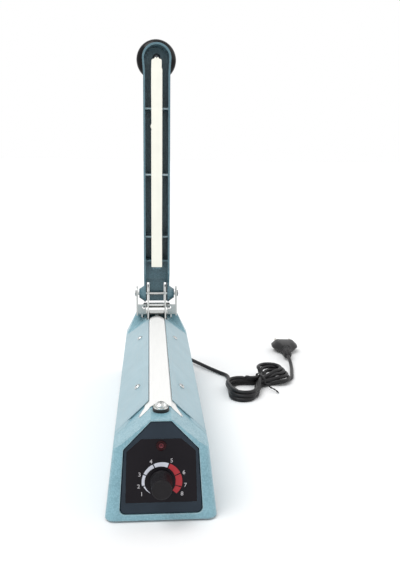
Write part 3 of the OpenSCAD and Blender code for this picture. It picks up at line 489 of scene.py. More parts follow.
@dataclass(frozen=True)
class Finish:
    """A plain surface that the other finishes build on."""

    name: str
    colour: Colour
    roughness: float = 0.5
    metallic: float = 0.0
    specular: float = 0.5
    coat: float = 0.0
    coat_roughness: float = 0.1
    # Edge marking: partly worn paint, partly painted edge highlight.
    wear: float = 0.0
    wear_radius: float = 0.5
    wear_colour: Colour = (0.6, 0.6, 0.6)
    dust: float = 0.0

    def material(self) -> bpy.types.Material:
        """Builds this finish's material, or gives the one that is there.

        Returns:
            The material.
        """
        known = bpy.data.materials.get("finish_" + self.name)
        if known:
            return known
        made = bpy.data.materials.new("finish_" + self.name)
        made.use_nodes = True
        made.node_tree.nodes.clear()
        graph = Graph(made.node_tree)
        shell = graph.add("ShaderNodeBsdfPrincipled", {
            "Roughness": self.roughness, "Metallic": self.metallic, "Specular IOR Level": self.specular,
            "Coat Weight": self.coat, "Coat Roughness": self.coat_roughness})
        graph.add("ShaderNodeOutputMaterial", {"Surface": shell.outputs[0]})
        colour, height, depth = self.surface(graph, shell)
        edge = EDGE_WEAR_AND_HIGHLIGHT.place(graph, {"Radius": self.wear_radius, "Amount": self.wear})
        # Lighter edges: worn paint and painted edge highlight.
        colour = graph.mix(edge.outputs["Mask"], colour, self.wear_colour)
        if self.dust:
            film = DUST.place(graph, {"Amount": self.dust})
            colour = graph.mix(film.outputs["Mask"], colour, DUST_GREY)
        graph.tree.links.new(colour, shell.inputs["Base Color"])
        bump = graph.add("ShaderNodeBump", {
            "Height": height, "Distance": depth * MM, "Strength": 1.0, "Normal": edge.outputs["Normal"]})
        graph.tree.links.new(bump.outputs[0], shell.inputs["Normal"])
        return made

    def surface(self, g: Graph, shell: bpy.types.Node) -> tuple[Socket, Socket, float]:
        """Adds the nodes that are this finish's own.

        Args:
            g: The material's graph.
            shell: Its Principled BSDF; not used.

        Returns:
            Colour socket, height socket and the bump's depth in millimetres.
        """
        cloud = GRAIN.place(g, {"Size": 0.3})
        return g.mix(cloud.outputs["Tone"], self.colour, self.tinted(0.9)), cloud.outputs["Height"], 0.01

    def tinted(self, factor: float) -> Colour:
        """The colour made darker or lighter by a factor."""
        return self.colour[0] * factor, self.colour[1] * factor, self.colour[2] * factor

    def vary_gloss(self, g: Graph, shell: bpy.types.Node, mask: Socket, low: float, high: float) -> None:
        """Lets the roughness follow a mask.

        Args:
            g: The material's graph.
            shell: Its Principled BSDF.
            mask: A socket from 0 to 1.
            low: What the mask's 0 adds to the usual roughness.
            high: What the mask's 1 adds to it.
        """
        gloss = g.scale(mask, self.roughness + low, self.roughness + high)
        g.tree.links.new(gloss, shell.inputs["Roughness"])


@dataclass(frozen=True)
class HammerEnamel(Finish):
    """Stoved hammer-finish enamel, with shallow glossy cells."""

    deep: Colour = (0.1, 0.2, 0.2)
    cell: float = 1.4
    depth: float = 0.06

    def surface(self, g: Graph, shell: bpy.types.Node) -> tuple[Socket, Socket, float]:
        """Cells pool a deeper colour, and gloss changes with them.

        Args:
            g: The material's graph.
            shell: Its Principled BSDF.

        Returns:
            Colour socket, height socket and the bump's depth in millimetres.
        """
        skin = HAMMER.place(g, {"Size": self.cell})
        fine = GRAIN.place(g, {"Size": 0.25, "Cloud": 0.03})
        colour = g.mix(g.span(skin.outputs["Tone"], 0.2, 0.75), self.colour, self.deep)
        colour = g.mix(fine.outputs["Tone"], colour, self.tinted(1.18), share=0.25)
        self.vary_gloss(g, shell, skin.outputs["Height"], 0.08, -0.06)
        height = g.math("ADD", skin.outputs["Height"], g.math("MULTIPLY", fine.outputs["Height"], 0.15))
        return colour, height, self.depth


@dataclass(frozen=True)
class RubbedEnamel(HammerEnamel):
    """Hammer enamel with painted highlights on a channel's ribs, at chosen heights inside its walls."""

    bands: tuple[tuple[float, float, float], ...] = ()
    floor: float = 0.0
    inner_half: float = 11.9

    def surface(self, g: Graph, shell: bpy.types.Node) -> tuple[Socket, Socket, float]:
        """Each painted rib highlight is a height, half a width and how pale it is.

        Args:
            g: The material's graph.
            shell: Its Principled BSDF.

        Returns:
            Colour socket, height socket and the bump's depth in millimetres.
        """
        colour, height, depth = super().surface(g, shell)
        across, along, up = g.add("ShaderNodeSeparateXYZ", {0: g.place()}).outputs
        inside = g.math("MULTIPLY", g.math("LESS_THAN", g.math("ABSOLUTE", across), self.inner_half),
                        g.math("LESS_THAN", along, self.floor))
        # Painted highlights on the ribs, paler at each listed height.
        for level, half, amount in self.bands:
            rib_highlight = g.span(g.math("ABSOLUTE", g.math("SUBTRACT", up, level)), half, half * 0.6)
            colour = g.mix(g.math("MULTIPLY", rib_highlight, inside), colour, self.wear_colour, share=amount)
        return colour, height, depth


@dataclass(frozen=True)
class SprayedEnamel(Finish):
    """Smooth sprayed enamel with a little orange peel."""

    peel: float = 0.9
    depth: float = 0.012

    def surface(self, g: Graph, shell: bpy.types.Node) -> tuple[Socket, Socket, float]:
        """Slow clouding with long faint streaks, as rolled sheet shows.

        Args:
            g: The material's graph.
            shell: Its Principled BSDF.

        Returns:
            Colour socket, height socket and the bump's depth in millimetres.
        """
        skin = GRAIN.place(g, {"Size": self.peel, "Cloud": 0.05})
        roll = BRUSHING.place(g, {"Across X": 0.8, "Across Y": 0.02, "Across Z": 0.8})
        colour = g.mix(skin.outputs["Tone"], self.colour, self.tinted(0.9))
        colour = g.mix(roll.outputs["Tone"], colour, self.tinted(1.12), share=0.35)
        self.vary_gloss(g, shell, roll.outputs["Tone"], -0.05, 0.07)
        return colour, skin.outputs["Height"], self.depth


@dataclass(frozen=True)
class MouldedPlastic(Finish):
    """Moulded plastic with a spark-eroded grain."""

    grain: float = 0.35
    depth: float = 0.03
    mottle: float = 0.82

    def surface(self, g: Graph, shell: bpy.types.Node) -> tuple[Socket, Socket, float]:
        """A fine grain that also breaks up the gloss.

        Args:
            g: The material's graph.
            shell: Its Principled BSDF.

        Returns:
            Colour socket, height socket and the bump's depth in millimetres.
        """
        skin = GRAIN.place(g, {"Size": self.grain, "Cloud": 0.08})
        colour = g.mix(skin.outputs["Tone"], self.colour, self.tinted(self.mottle))
        self.vary_gloss(g, shell, skin.outputs["Height"], -0.07, 0.09)
        return colour, skin.outputs["Height"], self.depth


class Draw(Enum):
    """The axis that a metal's drawing lines run along."""

    X = (0.08, 6.0, 6.0)
    Y = (6.0, 0.08, 6.0)
    Z = (6.0, 6.0, 0.08)
    NONE = (1.5, 1.5, 1.5)


@dataclass(frozen=True)
class PlatedMetal(Finish):
    """Plated or bare metal, drawn along one axis."""

    draw: Draw = Draw.NONE
    depth: float = 0.006
    stain: Colour = (0.42, 0.42, 0.4)

    def surface(self, g: Graph, shell: bpy.types.Node) -> tuple[Socket, Socket, float]:
        """Drawing lines in colour, gloss and height, with faint stains.

        Args:
            g: The material's graph.
            shell: Its Principled BSDF.

        Returns:
            Colour socket, height socket and the bump's depth in millimetres.
        """
        x, y, z = self.draw.value
        lines = BRUSHING.place(g, {"Across X": x, "Across Y": y, "Across Z": z})
        cloud = GRAIN.place(g, {"Size": 1.2, "Cloud": 0.25})
        colour = g.mix(lines.outputs["Tone"], self.colour, self.tinted(0.8), share=0.5)
        colour = g.mix(cloud.outputs["Tone"], colour, self.stain, share=0.3)
        self.vary_gloss(g, shell, lines.outputs["Tone"], -0.05, 0.08)
        return colour, lines.outputs["Height"], self.depth


@dataclass(frozen=True)
class GlassCloth(Finish):
    """White coated glass cloth, with its weave under the coating."""

    pitch: float = 0.5
    depth: float = 0.025

    def surface(self, g: Graph, shell: bpy.types.Node) -> tuple[Socket, Socket, float]:
        """Threads show as a fine relief and a hint of tone.

        Args:
            g: The material's graph.
            shell: Its Principled BSDF; not used.

        Returns:
            Colour socket, height socket and the bump's depth in millimetres.
        """
        threads = WEAVE.place(g, {"Pitch": self.pitch})
        colour = g.mix(threads.outputs["Tone"], self.colour, self.tinted(0.93), share=0.5)
        return colour, threads.outputs["Height"], self.depth


@dataclass(frozen=True)
class Rings(Finish):
    """A lens whose moulded ring round the lamp's axis carries a painted highlight."""

    centre: tuple[float, float, float] = (0, 0, 0)
    ring: float = 1.7
    glow: Colour = (0.5, 0.05, 0.05)
    relief: float = 0.15

    def surface(self, g: Graph, shell: bpy.types.Node) -> tuple[Socket, Socket, float]:
        """A painted highlight at one ring's radius, which also lifts the bump; darker in the middle.

        Args:
            g: The material's graph.
            shell: Its Principled BSDF; not used.

        Returns:
            Colour socket, height socket and the bump's depth in millimetres.
        """
        own = g.add("ShaderNodeTexCoord", {}).outputs["Object"]
        gap = g.vector("DISTANCE", own, self.centre, "Value")
        off = g.math("ABSOLUTE", g.math("SUBTRACT", gap, self.ring * MM))
        highlight_band = g.math("SUBTRACT", 1.0, g.span(off, 0.0002, 0.0007))
        cloud = GRAIN.place(g, {"Size": 0.4, "Cloud": 0.8})
        # Painted highlight at the ring's radius.
        colour = g.mix(highlight_band, self.colour, self.glow)
        colour = g.mix(cloud.outputs["Tone"], colour, self.tinted(0.5), share=0.3)
        return colour, highlight_band, self.relief


@dataclass(frozen=True)
class LaminatedSteel(Finish):
    """Stacked varnished sheets, or wire laid side by side."""

    pitch: float = 0.5
    axis: str = "X"
    depth: float = 0.06

    def surface(self, g: Graph, shell: bpy.types.Node) -> tuple[Socket, Socket, float]:
        """Fine even lines across one axis.

        Args:
            g: The material's graph.
            shell: Its Principled BSDF; not used.

        Returns:
            Colour socket, height socket and the bump's depth in millimetres.
        """
        along = g.add("ShaderNodeSeparateXYZ", {0: g.place()}).outputs[self.axis]
        wave = g.math("SINE", g.math("MULTIPLY", along, 2 * math.pi / self.pitch))
        line = g.span(wave, -0.6, 0.8)
        cloud = GRAIN.place(g, {"Size": 0.6, "Cloud": 0.1})
        colour = g.mix(line, self.tinted(0.6), self.colour)
        colour = g.mix(cloud.outputs["Tone"], colour, self.tinted(1.3), share=0.3)
        return colour, line, self.depth


@dataclass(frozen=True)
class ClearGlass(Finish):
    """Thin glass with a warm gas inside."""

    def surface(self, g: Graph, shell: bpy.types.Node) -> tuple[Socket, Socket, float]:
        """Glass that lets the light through.

        Args:
            g: The material's graph.
            shell: Its Principled BSDF.

        Returns:
            Colour socket, height socket and the bump's depth in millimetres.
        """
        shell.inputs["Transmission Weight"].default_value = 0.85
        cloud = GRAIN.place(g, {"Size": 0.8})
        return g.mix(cloud.outputs["Tone"], self.colour, self.tinted(0.8)), cloud.outputs["Height"], 0.01


FINISHES: dict[str, Finish] = {
    # Edge colours stand for worn paint and for painted edge highlights.
    "casing_paint": HammerEnamel(
        "casing_enamel", linear("88b4c1"), 0.34, coat=0.25, coat_roughness=0.12, wear=0.9, wear_radius=1.2,
        wear_colour=linear("c4dde2"), dust=0.1, deep=linear("709aa7"), cell=1.2),
    "plate_paint": SprayedEnamel(
        "plate_enamel", linear("98b5bf"), 0.42, coat=0.12, wear=0.7, wear_radius=0.5,
        wear_colour=linear("e2ebee"), dust=0.1),
    # The arm's ribs carry painted highlights at three heights.
    "arm_paint": RubbedEnamel(
        "arm_enamel", linear("5f8490"), 0.36, coat=0.2, coat_roughness=0.15, wear=0.3, wear_radius=0.4,
        wear_colour=linear("cfe2e8"), dust=0.1, deep=linear("4a6974"), cell=1.5, depth=0.05,
        bands=((298.4, 1.3, 0.45), (230.4, 1.5, 0.8), (163.9, 1.3, 0.35)), floor=304.4 - CENTRE_Y),
    "cover_paint": SprayedEnamel(
        "cover_enamel", linear("4d4f52"), 0.5, wear=0.3, wear_colour=linear("8a8c8e")),
    "panel_plastic": MouldedPlastic(
        "panel_plastic", linear("29343f"), 0.5, specular=0.2, wear=0.5, wear_radius=0.4,
        wear_colour=linear("6f8794")),
    "label_print": MouldedPlastic(
        "label_film", linear("1b181d"), 0.42, specular=0.12, wear=0.25, wear_colour=linear("5b5a60"),
        grain=0.2, depth=0.012),
    # The pilot lens carries a painted highlight ring.
    "lamp_red": Rings(
        "lamp_lens", linear("3a0c12"), 0.2, specular=0.3, centre=LENS_CENTRE, ring=1.35,
        glow=linear("7d3640")),
    "lamp_dark": MouldedPlastic("lamp_bezel", linear("2c080d"), 0.25, specular=0.15, grain=0.6, depth=0.01),
    "black_knob": MouldedPlastic(
        "knob_gloss", linear("0c0b0e"), 0.16, specular=0.1, coat=0.06, coat_roughness=0.04,
        wear=0.35, wear_colour=linear("4a4a50"), grain=1.4, depth=0.01, dust=0.02),
    "dial_black": MouldedPlastic(
        "dial_satin", linear("1b191c"), 0.45, specular=0.2, wear=0.5, wear_radius=0.3,
        wear_colour=linear("4c4b4e"), grain=0.25, depth=0.02),
    "zinc": PlatedMetal("zinc_plate", linear("c9ccca"), 0.34, 1.0, wear=0.5, wear_colour=BRIGHT,
                        draw=Draw.Y),
    "bright_steel": PlatedMetal("bright_nickel", linear("dfe1e0"), 0.16, 1.0, wear=0.6, wear_colour=BRIGHT,
                                wear_radius=0.25, draw=Draw.X, depth=0.003),
    "screw_steel": PlatedMetal("screw_plate", linear("d2d4d4"), 0.24, 1.0, wear=0.6, wear_radius=0.2,
                               wear_colour=BRIGHT),
    "clip_steel": PlatedMetal("spring_clip", linear("76777c"), 0.36, 1.0, wear=0.4, wear_radius=0.15,
                              wear_colour=linear("b5b6ba")),
    "spring_steel": PlatedMetal("spring_wire", linear("a9abac"), 0.28, 1.0, draw=Draw.X),
    "silicone": MouldedPlastic(
        "silicone_rubber", linear("fffef2"), 0.6, specular=0.4, wear=0.3, wear_colour=linear("fffefa"),
        grain=0.8, depth=0.02, mottle=0.96),
    "foot_rubber": MouldedPlastic("foot_rubber", linear("242425"), 0.75, specular=0.25, grain=0.3,
                                  depth=0.05),
    "release_fabric": GlassCloth("release_cloth", linear("f3f3f1"), 0.42, specular=0.4, wear=0.3,
                                 wear_colour=linear("ffffff")),
    "phenolic": LaminatedSteel("phenolic_board", linear("6b4f3c"), 0.55, pitch=0.4, axis="Z", depth=0.02),
    "terminal_black": MouldedPlastic("terminal_black", linear("232324"), 0.4, specular=0.35, wear=0.4,
                                     wear_colour=linear("5c5c5e")),
    "ribbon_alloy": PlatedMetal("ribbon_alloy", linear("bdb7ae"), 0.36, 1.0, draw=Draw.Y),
    "pot_metal": PlatedMetal("control_can", linear("c3c3bc"), 0.34, 1.0, draw=Draw.Z),
    "board_green": MouldedPlastic("board_mask", linear("1f6a3c"), 0.35, coat=0.3, grain=0.8, depth=0.02),
    "relay_blue": MouldedPlastic("relay_case", linear("2b4f9a"), 0.3, grain=0.6, depth=0.02),
    "capacitor_skin": MouldedPlastic("capacitor_sleeve", linear("23235c"), 0.25, grain=0.6, depth=0.01),
    "lamp_glass": ClearGlass("neon_glass", linear("f0b98a"), 0.05),
    "lamination": LaminatedSteel("core_sheets", linear("585b60"), 0.5, 0.6, pitch=0.5, axis="X"),
    "winding": LaminatedSteel("enamelled_wire", linear("a8672c"), 0.35, 0.5, pitch=0.7, axis="Z",
                              depth=0.12),
    "switch_case": MouldedPlastic("switch_case", linear("29292b"), 0.45, grain=0.3),
    "wire_red": MouldedPlastic("wire_sleeve", linear("b0322c"), 0.45, grain=0.5, depth=0.01),
    "lead_black": MouldedPlastic(
        "lead_vinyl", linear("1c1b1d"), 0.38, specular=0.28, wear=0.2, wear_radius=0.3,
        wear_colour=linear("4c4c50"), grain=0.5, depth=0.02, dust=0.02),
    "pin_brass": PlatedMetal("pin_nickel", linear("d6d2c8"), 0.2, 1.0, draw=Draw.Y, depth=0.003),
}


def dress(slot: str) -> bpy.types.Material:
    """The material of one of the record's slots."""
    return FINISHES[slot].material()


def attach(piece: bpy.types.Object, body: str, slot: str, *nodes: str) -> bpy.types.Object:
    """Puts a piece on its body, in place of CAD nodes.

    Args:
        piece: The finished object.
        body: The body that it moves with.
        slot: The record's slot that its finish comes from; not used.
        *nodes: CAD nodes that it stands for.

    Returns:
        The same object.
    """
    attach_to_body(piece, body)
    if nodes:
        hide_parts(*nodes)
    LOG.info("%s rides on %s%s", piece.name, body, " for " + ", ".join(nodes) if nodes else "")
    return piece


# ---------- studio ----------

@dataclass
class Studio:
    """Camera, floor and light."""

    eye: tuple[float, float, float] = (-7.7, -408.3, 259.1)
    yaw: float = 0.080
    pitch: float = 0.211
    roll: float = 0.014
    focal_pixels: float = 640.73
    frame_height: int = 570
    sensor: float = 36.0
    sky: float = 0.78
    sun: float = 1.25
    fill: float = 1.6

    def camera(self) -> None:
        """Makes the camera and turns it to the viewing angle."""
        data = bpy.data.cameras.new("camera")
        data.sensor_width = self.sensor
        data.lens = self.focal_pixels * self.sensor / self.frame_height
        data.clip_start, data.clip_end = 0.01, 100
        seat = bpy.data.objects.new("camera", data)
        ahead = Vector((math.sin(self.yaw), math.cos(self.yaw), 0))
        right = Vector((math.cos(self.yaw), -math.sin(self.yaw), 0))
        look = ahead * math.cos(self.pitch) - UP * math.sin(self.pitch)
        crown = UP * math.cos(self.pitch) + ahead * math.sin(self.pitch)
        side = right * math.cos(self.roll) + crown * math.sin(self.roll)
        crown = crown * math.cos(self.roll) - right * math.sin(self.roll)
        turn = Matrix((side, crown, -look)).transposed().to_4x4()
        seat.matrix_world = Matrix.Translation(spot(*self.eye)) @ turn
        bpy.context.scene.collection.objects.link(seat)
        bpy.context.scene.camera = seat

    def floor(self) -> None:
        """Makes a plain pale floor with a faint unevenness."""
        paint = bpy.data.materials.new("floor_white")
        paint.use_nodes = True
        paint.node_tree.nodes.clear()
        g = Graph(paint.node_tree)
        tone = g.noise(g.place(), 0.004, 2.0)
        colour = g.mix(tone, linear("fbfbfb"), linear("f8f9fa"))
        shell = g.add("ShaderNodeBsdfPrincipled", {
            "Base Color": colour, "Roughness": 0.9, "Specular IOR Level": 0.1})
        g.add("ShaderNodeOutputMaterial", {"Surface": shell.outputs[0]})
        half, under = 12.0, -0.0001
        ways = ((-half, -half), (half, -half), (half, half), (-half, half))
        corners = [Vector((x, y, under)) for x, y in ways]
        mesh_piece("floor", corners, [(0, 1, 2, 3)], paint, smooth=False)

    def world(self) -> None:
        """Makes an even white sky that lights softly and shows as plain white."""
        sky = bpy.data.worlds.new("studio_sky")
        bpy.context.scene.world = sky
        sky.use_nodes = True
        sky.node_tree.nodes.clear()
        g = Graph(sky.node_tree)
        path = g.add("ShaderNodeLightPath", {})
        seen = g.math("MAXIMUM", path.outputs["Is Camera Ray"], path.outputs["Is Glossy Ray"])
        seen = g.math("MAXIMUM", seen, path.outputs["Is Transmission Ray"])
        strength = g.math("ADD", g.math("MULTIPLY", seen, 1.0 - self.sky), self.sky)
        back = g.add("ShaderNodeBackground", {"Color": (1, 1, 1, 1), "Strength": strength})
        g.add("ShaderNodeOutputWorld", {"Surface": back.outputs[0]})

    def lamp(self, name: str, kind: str, power: float, place: Vector, target: Vector, size: float) -> None:
        """Adds one lamp.

        Args:
            name: The lamp's name.
            kind: "SUN" or "AREA".
            power: Its strength.
            place: Where it stands.
            target: What it points at.
            size: The sun's angle in degrees, or the area's side in metres.
        """
        data = bpy.data.lights.new(name, kind)
        data.energy = power
        if kind == "SUN":
            data.angle = math.radians(size)
        else:
            data.size = size
        stand = bpy.data.objects.new(name, data)
        turn = (target - place).to_track_quat("-Z", "Y").to_matrix().to_4x4()
        stand.matrix_world = Matrix.Translation(place) @ turn
        bpy.context.scene.collection.objects.link(stand)

    def build(self) -> None:
        """Makes the whole studio."""
        bpy.context.scene.view_settings.view_transform = "Standard"
        self.camera()
        self.floor()
        self.world()
        middle = Vector((0, 0, 0.12))
        self.lamp("key", "SUN", self.sun, Vector((-1.0, -0.5, 2.4)), middle, 38.0)
        self.lamp("side", "AREA", self.fill, Vector((1.1, 0.2, 0.9)), middle, 0.8)


# ---------- mains lead ----------

@dataclass(frozen=True)
class Peg:
    """A circle that the cord is led round, with the height it has there."""

    x: float
    y: float
    radius: float
    side: int
    height: float

    def touch(self, heading: float) -> tuple[float, float]:
        """Where a cord with this heading lies against the peg."""
        reach = self.side * self.radius
        return self.x + reach * math.sin(heading), self.y - reach * math.cos(heading)


@dataclass
class MainsLead:
    """The lead, its tied hank, tail, twist tie and plug, placed from the foot of the casing's rear end."""

    diameter: float = 4.2
    gland: tuple[float, float, float] = (-5.0, 21.0, 12.0)
    knot: tuple[float, float] = (115.5, -57.5)
    knot_turn: float = 22.0
    tight: float = 12.6
    loop_reach: float = 23.5
    loop_lean: float = 0.7
    arc_step: float = 21.0
    straight_step: float = 9.0
    lift: float = 0.2
    layers: tuple[float, float, float] = (2.1, 5.8, 9.5)
    plug_at: tuple[float, float, float] = (166.0, 46.0, 7.05)
    plug_turn: float = -5.5
    sleeve_length: float = 24.0
    tie_half: float = 8.9
    tie_low: float = 0.5
    tie_high: float = 12.6
    tie_section: tuple[tuple[float, float], ...] = (
        (-1.3, -0.3), (1.3, -0.3), (1.5, 0), (1.3, 0.3), (-1.3, 0.3), (-1.5, 0))
    tie_ends: tuple[tuple[float, float, float], ...] = ((124.2, -75.0, 3.6), (131.0, -84.2, 1.2))
    plug_stations: tuple[tuple[float, ...], ...] = (
        (0.0, 5.6, 4.0, 5.0), (1.2, 6.6, 4.6, 5.6), (5.0, 9.6, 5.4, 6.1), (10.0, 14.4, 7.6, 6.6),
        (14.5, 17.1, 9.8, 6.8), (18.0, 17.5, 10.3, 6.85), (25.6, 17.5, 10.3, 6.85),
        (26.7, 17.0, 9.9, 6.4), (27.0, 15.8, 9.0, 5.6))
    line: list[Vector] = field(default_factory=list)

    def at(self, x: float, y: float, z: float) -> Vector:
        """A point measured from the foot of the casing's rear end."""
        return spot(x, CASING_LENGTH + y, z)

    def off_knot(self, distance: float, angle: float) -> tuple[float, float]:
        """A point at some distance and angle from the tie."""
        a = math.radians(angle)
        return self.knot[0] + distance * math.cos(a), self.knot[1] + distance * math.sin(a)

    def under_tie(self, slot: float, height: float, side: int, turn: float) -> Peg:
        """The peg that leads one strand through the tie.

        Args:
            slot: The strand's place across the bundle.
            height: Its height.
            side: -1 on its way to the small loops, 1 on its way back.
            turn: The strand's direction under the tie, in degrees.

        Returns:
            The peg.
        """
        x, y = self.off_knot(slot + side * self.tight, turn + 90)
        return Peg(x, y, self.tight, -1, height)

    def small_loop(
        self,
        slots: tuple[float, float],
        heights: tuple[float, float, float],
        angle: float,
    ) -> list[Peg]:
        """Pegs of one small loop, from tie to tie.

        Args:
            slots: The strand's places across the bundle, out and back.
            heights: Its heights under the tie, on the loop and under the tie again.
            angle: The loop's direction from the tie, in degrees.

        Returns:
            Three pegs.
        """
        turn = self.knot_turn + (angle - self.knot_turn) * self.loop_lean
        x, y = self.off_knot(self.loop_reach, angle)
        return [
            self.under_tie(slots[0], heights[0], -1, turn),
            Peg(x, y, self.tight, 1, heights[1]),
            self.under_tie(slots[1], heights[2], 1, turn),
        ]

    def pegs(self) -> list[Peg]:
        """Lists all pegs in order, from the gland to the tail.

        Returns:
            The pegs that the cord is led round.
        """
        low, middle, high = self.layers
        route = [Peg(12, 29, 17, -1, 6.0), Peg(64.5, -37, 17, -1, low)]
        large = [
            [Peg(90.5, -92, 12.8, 1, low)],
            [Peg(95, -69, 13, 1, low), Peg(94.5, -86.5, 12.6, 1, low)],
            [Peg(93, -68.5, 16, 1, 5.4), Peg(91.5, -90.5, 13, 1, 5.6)],
            [Peg(92.5, -71, 13.6, 1, middle), Peg(96, -83.5, 12.6, 1, middle)],
        ]
        small = [
            ((-2.1, 2.1), (low, 5.0, low), 25.0),
            ((-4.2, 6.3), (middle, 8.2, low), 35.0),
            ((0.0, 4.2), (middle, 11.0, middle), 46.0),
            ((-2.1, 2.1), (high, 13.4, high), 56.0),
        ]
        for lobe, loop in zip(large, small):
            route += lobe + self.small_loop(*loop)
        route += [Peg(92, -71.5, 15, 1, 8.6), Peg(92.5, -88, 12.8, 1, 8.6)]
        route += [self.under_tie(-6.3, low, -1, 24.0), Peg(136.2, -32.4, 20, 1, low)]
        return route

    @staticmethod
    def heading(start: Peg, end: Peg) -> float:
        """Direction of the straight that leaves one peg and meets the next."""
        dx, dy = end.x - start.x, end.y - start.y
        cross = (end.side * end.radius - start.side * start.radius) / math.hypot(dx, dy)
        return math.atan2(dy, dx) - math.asin(min(max(cross, -1.0), 1.0))

    def route(self) -> list[Vector]:
        """Leads the cord round its pegs, rising and falling gently between them.

        Returns:
            The centreline's points in the shared frame.
        """
        gx, gy, gz = self.gland
        stops = [Peg(gx, gy, 0, 1, gz - 2.1), *self.pegs(), Peg(159.6, -18, 0, 1, 2.1)]
        headings = [self.heading(a, b) for a, b in zip(stops[:-1], stops[1:])]
        flat: list[tuple[float, float, float, float]] = []
        for i, peg in enumerate(stops):
            before = headings[max(i - 1, 0)]
            after = headings[min(i, len(headings) - 1)]
            turn = ((after - before) * peg.side) % (2 * math.pi) if peg.radius else 0.0
            steps = max(1, math.ceil(turn / math.radians(self.arc_step))) if peg.radius else 0
            for k in range(steps + 1):
                x, y = peg.touch(before + peg.side * turn * k / max(steps, 1))
                flat.append((x, y, peg.height, float(i)))
        points: list[Vector] = []
        for a, b in zip(flat[:-1], flat[1:]):
            gap = math.hypot(b[0] - a[0], b[1] - a[1])
            steps = 1 if a[3] == b[3] else max(1, math.ceil(gap / self.straight_step))
            for k in range(steps):
                t = k / steps
                z = a[2] + (b[2] - a[2]) * ease(t)
                points.append(self.at(a[0] + (b[0] - a[0]) * t, a[1] + (b[1] - a[1]) * t, z + self.lift))
        tail = [(159.6, -18, 2.1), (161.2, -10, 2.2), (162.5, -1, 3.0), (163.2, 7, 4.4), (163.5, 13, 5.7)]
        points += [self.at(x, y, z + self.lift) for x, y, z in tail]
        points[0] = self.at(*self.gland)
        points.append(self.on_plug(0, -self.sleeve_length - 2, -0.1))
        points.append(self.on_plug(0, -self.sleeve_length + 5, 0))
        return points

    def on_plug(self, x: float, y: float, z: float) -> Vector:
        """A point in the plug's own directions: across, towards its pins and up."""
        a = math.radians(self.plug_turn)
        px, py, pz = self.plug_at
        px += x * math.cos(a) - y * math.sin(a)
        py += x * math.sin(a) + y * math.cos(a)
        return self.at(px, py, pz + z)

    def cord(self) -> bpy.types.Object:
        """Makes the cord as one round curve.

        Returns:
            The curve object.
        """
        self.line = self.route()
        data = bpy.data.curves.new("mains_lead", "CURVE")
        data.dimensions = "3D"
        data.bevel_depth = self.diameter / 2 * MM
        data.bevel_resolution = 5
        data.resolution_u = 6
        data.use_fill_caps = True
        spline = data.splines.new("BEZIER")
        spline.bezier_points.add(len(self.line) - 1)
        for knot, place in zip(spline.bezier_points, self.line):
            knot.co = place
            knot.handle_left_type = knot.handle_right_type = "AUTO"
        data.materials.append(dress("lead_black"))
        piece = bpy.data.objects.new("mains_lead", data)
        bpy.context.scene.collection.objects.link(piece)
        return attach(piece, "casing", "lead_black", "cord_lead", "cord_hank", "cord_tail")

    def length(self) -> float:
        """The length in metres, straight from point to point of the route."""
        return sum((b - a).length for a, b in zip(self.line[:-1], self.line[1:]))

    def tie_band(self, knot: Vector, along: Vector, across: Vector) -> list[list[Vector]]:
        """Draws the flat band round the bundle as a rounded oblong.

        Args:
            knot: The point on the floor under the bundle's middle.
            along: The bundle's direction.
            across: The direction across it.

        Returns:
            The band's sections, of which the last is the first again.
        """
        steps, square = 40, 0.55
        tall, middle = (self.tie_high - self.tie_low) / 2, (self.tie_high + self.tie_low) / 2
        rings = []
        for t in full_turn(steps):
            wide, high = (math.copysign(abs(c) ** square, c) for c in (math.cos(t), math.sin(t)))
            out = across * wide * self.tie_half + UP * high * tall
            centre = knot + (out + UP * middle) * MM
            normal = out.normalized()
            sway = along * (0.5 * math.sin(2 * t))
            rings.append([centre + (sway + along * u + normal * w) * MM for u, w in self.tie_section])
        return rings + rings[:1]

    @staticmethod
    def tie_strand(path: Sequence[Vector], phase: float) -> list[list[Vector]]:
        """One of the two strands twisted together at the tie's free end.

        Args:
            path: The twist's middle line.
            phase: Where the strand starts round that line, in radians.

        Returns:
            The strand's round sections.
        """
        swing_radius, strand_radius, twist = 0.42 * MM, 0.5 * MM, 0.75
        rings = []
        for k, place in enumerate(path):
            ahead = (path[min(k + 1, len(path) - 1)] - path[max(k - 1, 0)]).normalized()
            side = ahead.cross(UP).normalized()
            rise = side.cross(ahead)
            angle = phase + twist * k
            swing = (side * math.cos(angle) + rise * math.sin(angle)) * swing_radius
            rings.append([place + swing + (side * math.cos(b) + rise * math.sin(b)) * strand_radius
                          for b in full_turn(8)])
        return rings

    def tie(self) -> bpy.types.Object:
        """Makes the twist tie: a flat band round the bundle and its twisted free end.

        Returns:
            The mesh object.
        """
        a = math.radians(self.knot_turn)
        along, across = Vector((math.cos(a), math.sin(a), 0)), Vector((-math.sin(a), math.cos(a), 0))
        knot = self.at(*self.knot, 0)
        points, faces = loft(self.tie_band(knot, along, across), caps=False)
        root = knot + (across * -8.6 + UP * 4.5) * MM
        start, end = (self.at(*place) for place in self.tie_ends)
        path = [root, root.lerp(start, 0.5) + UP * 0.4 * MM]
        path += [start.lerp(end, k / 12) + UP * (0.7 * MM * math.sin(math.pi * k / 12)) for k in range(13)]
        for phase in (0.0, math.pi):
            add_skin(points, faces, self.tie_strand(path, phase))
        piece = mesh_piece("twist_tie", points, faces, dress("lead_black"))
        return attach(piece, "casing", "lead_black", "hank_tie")

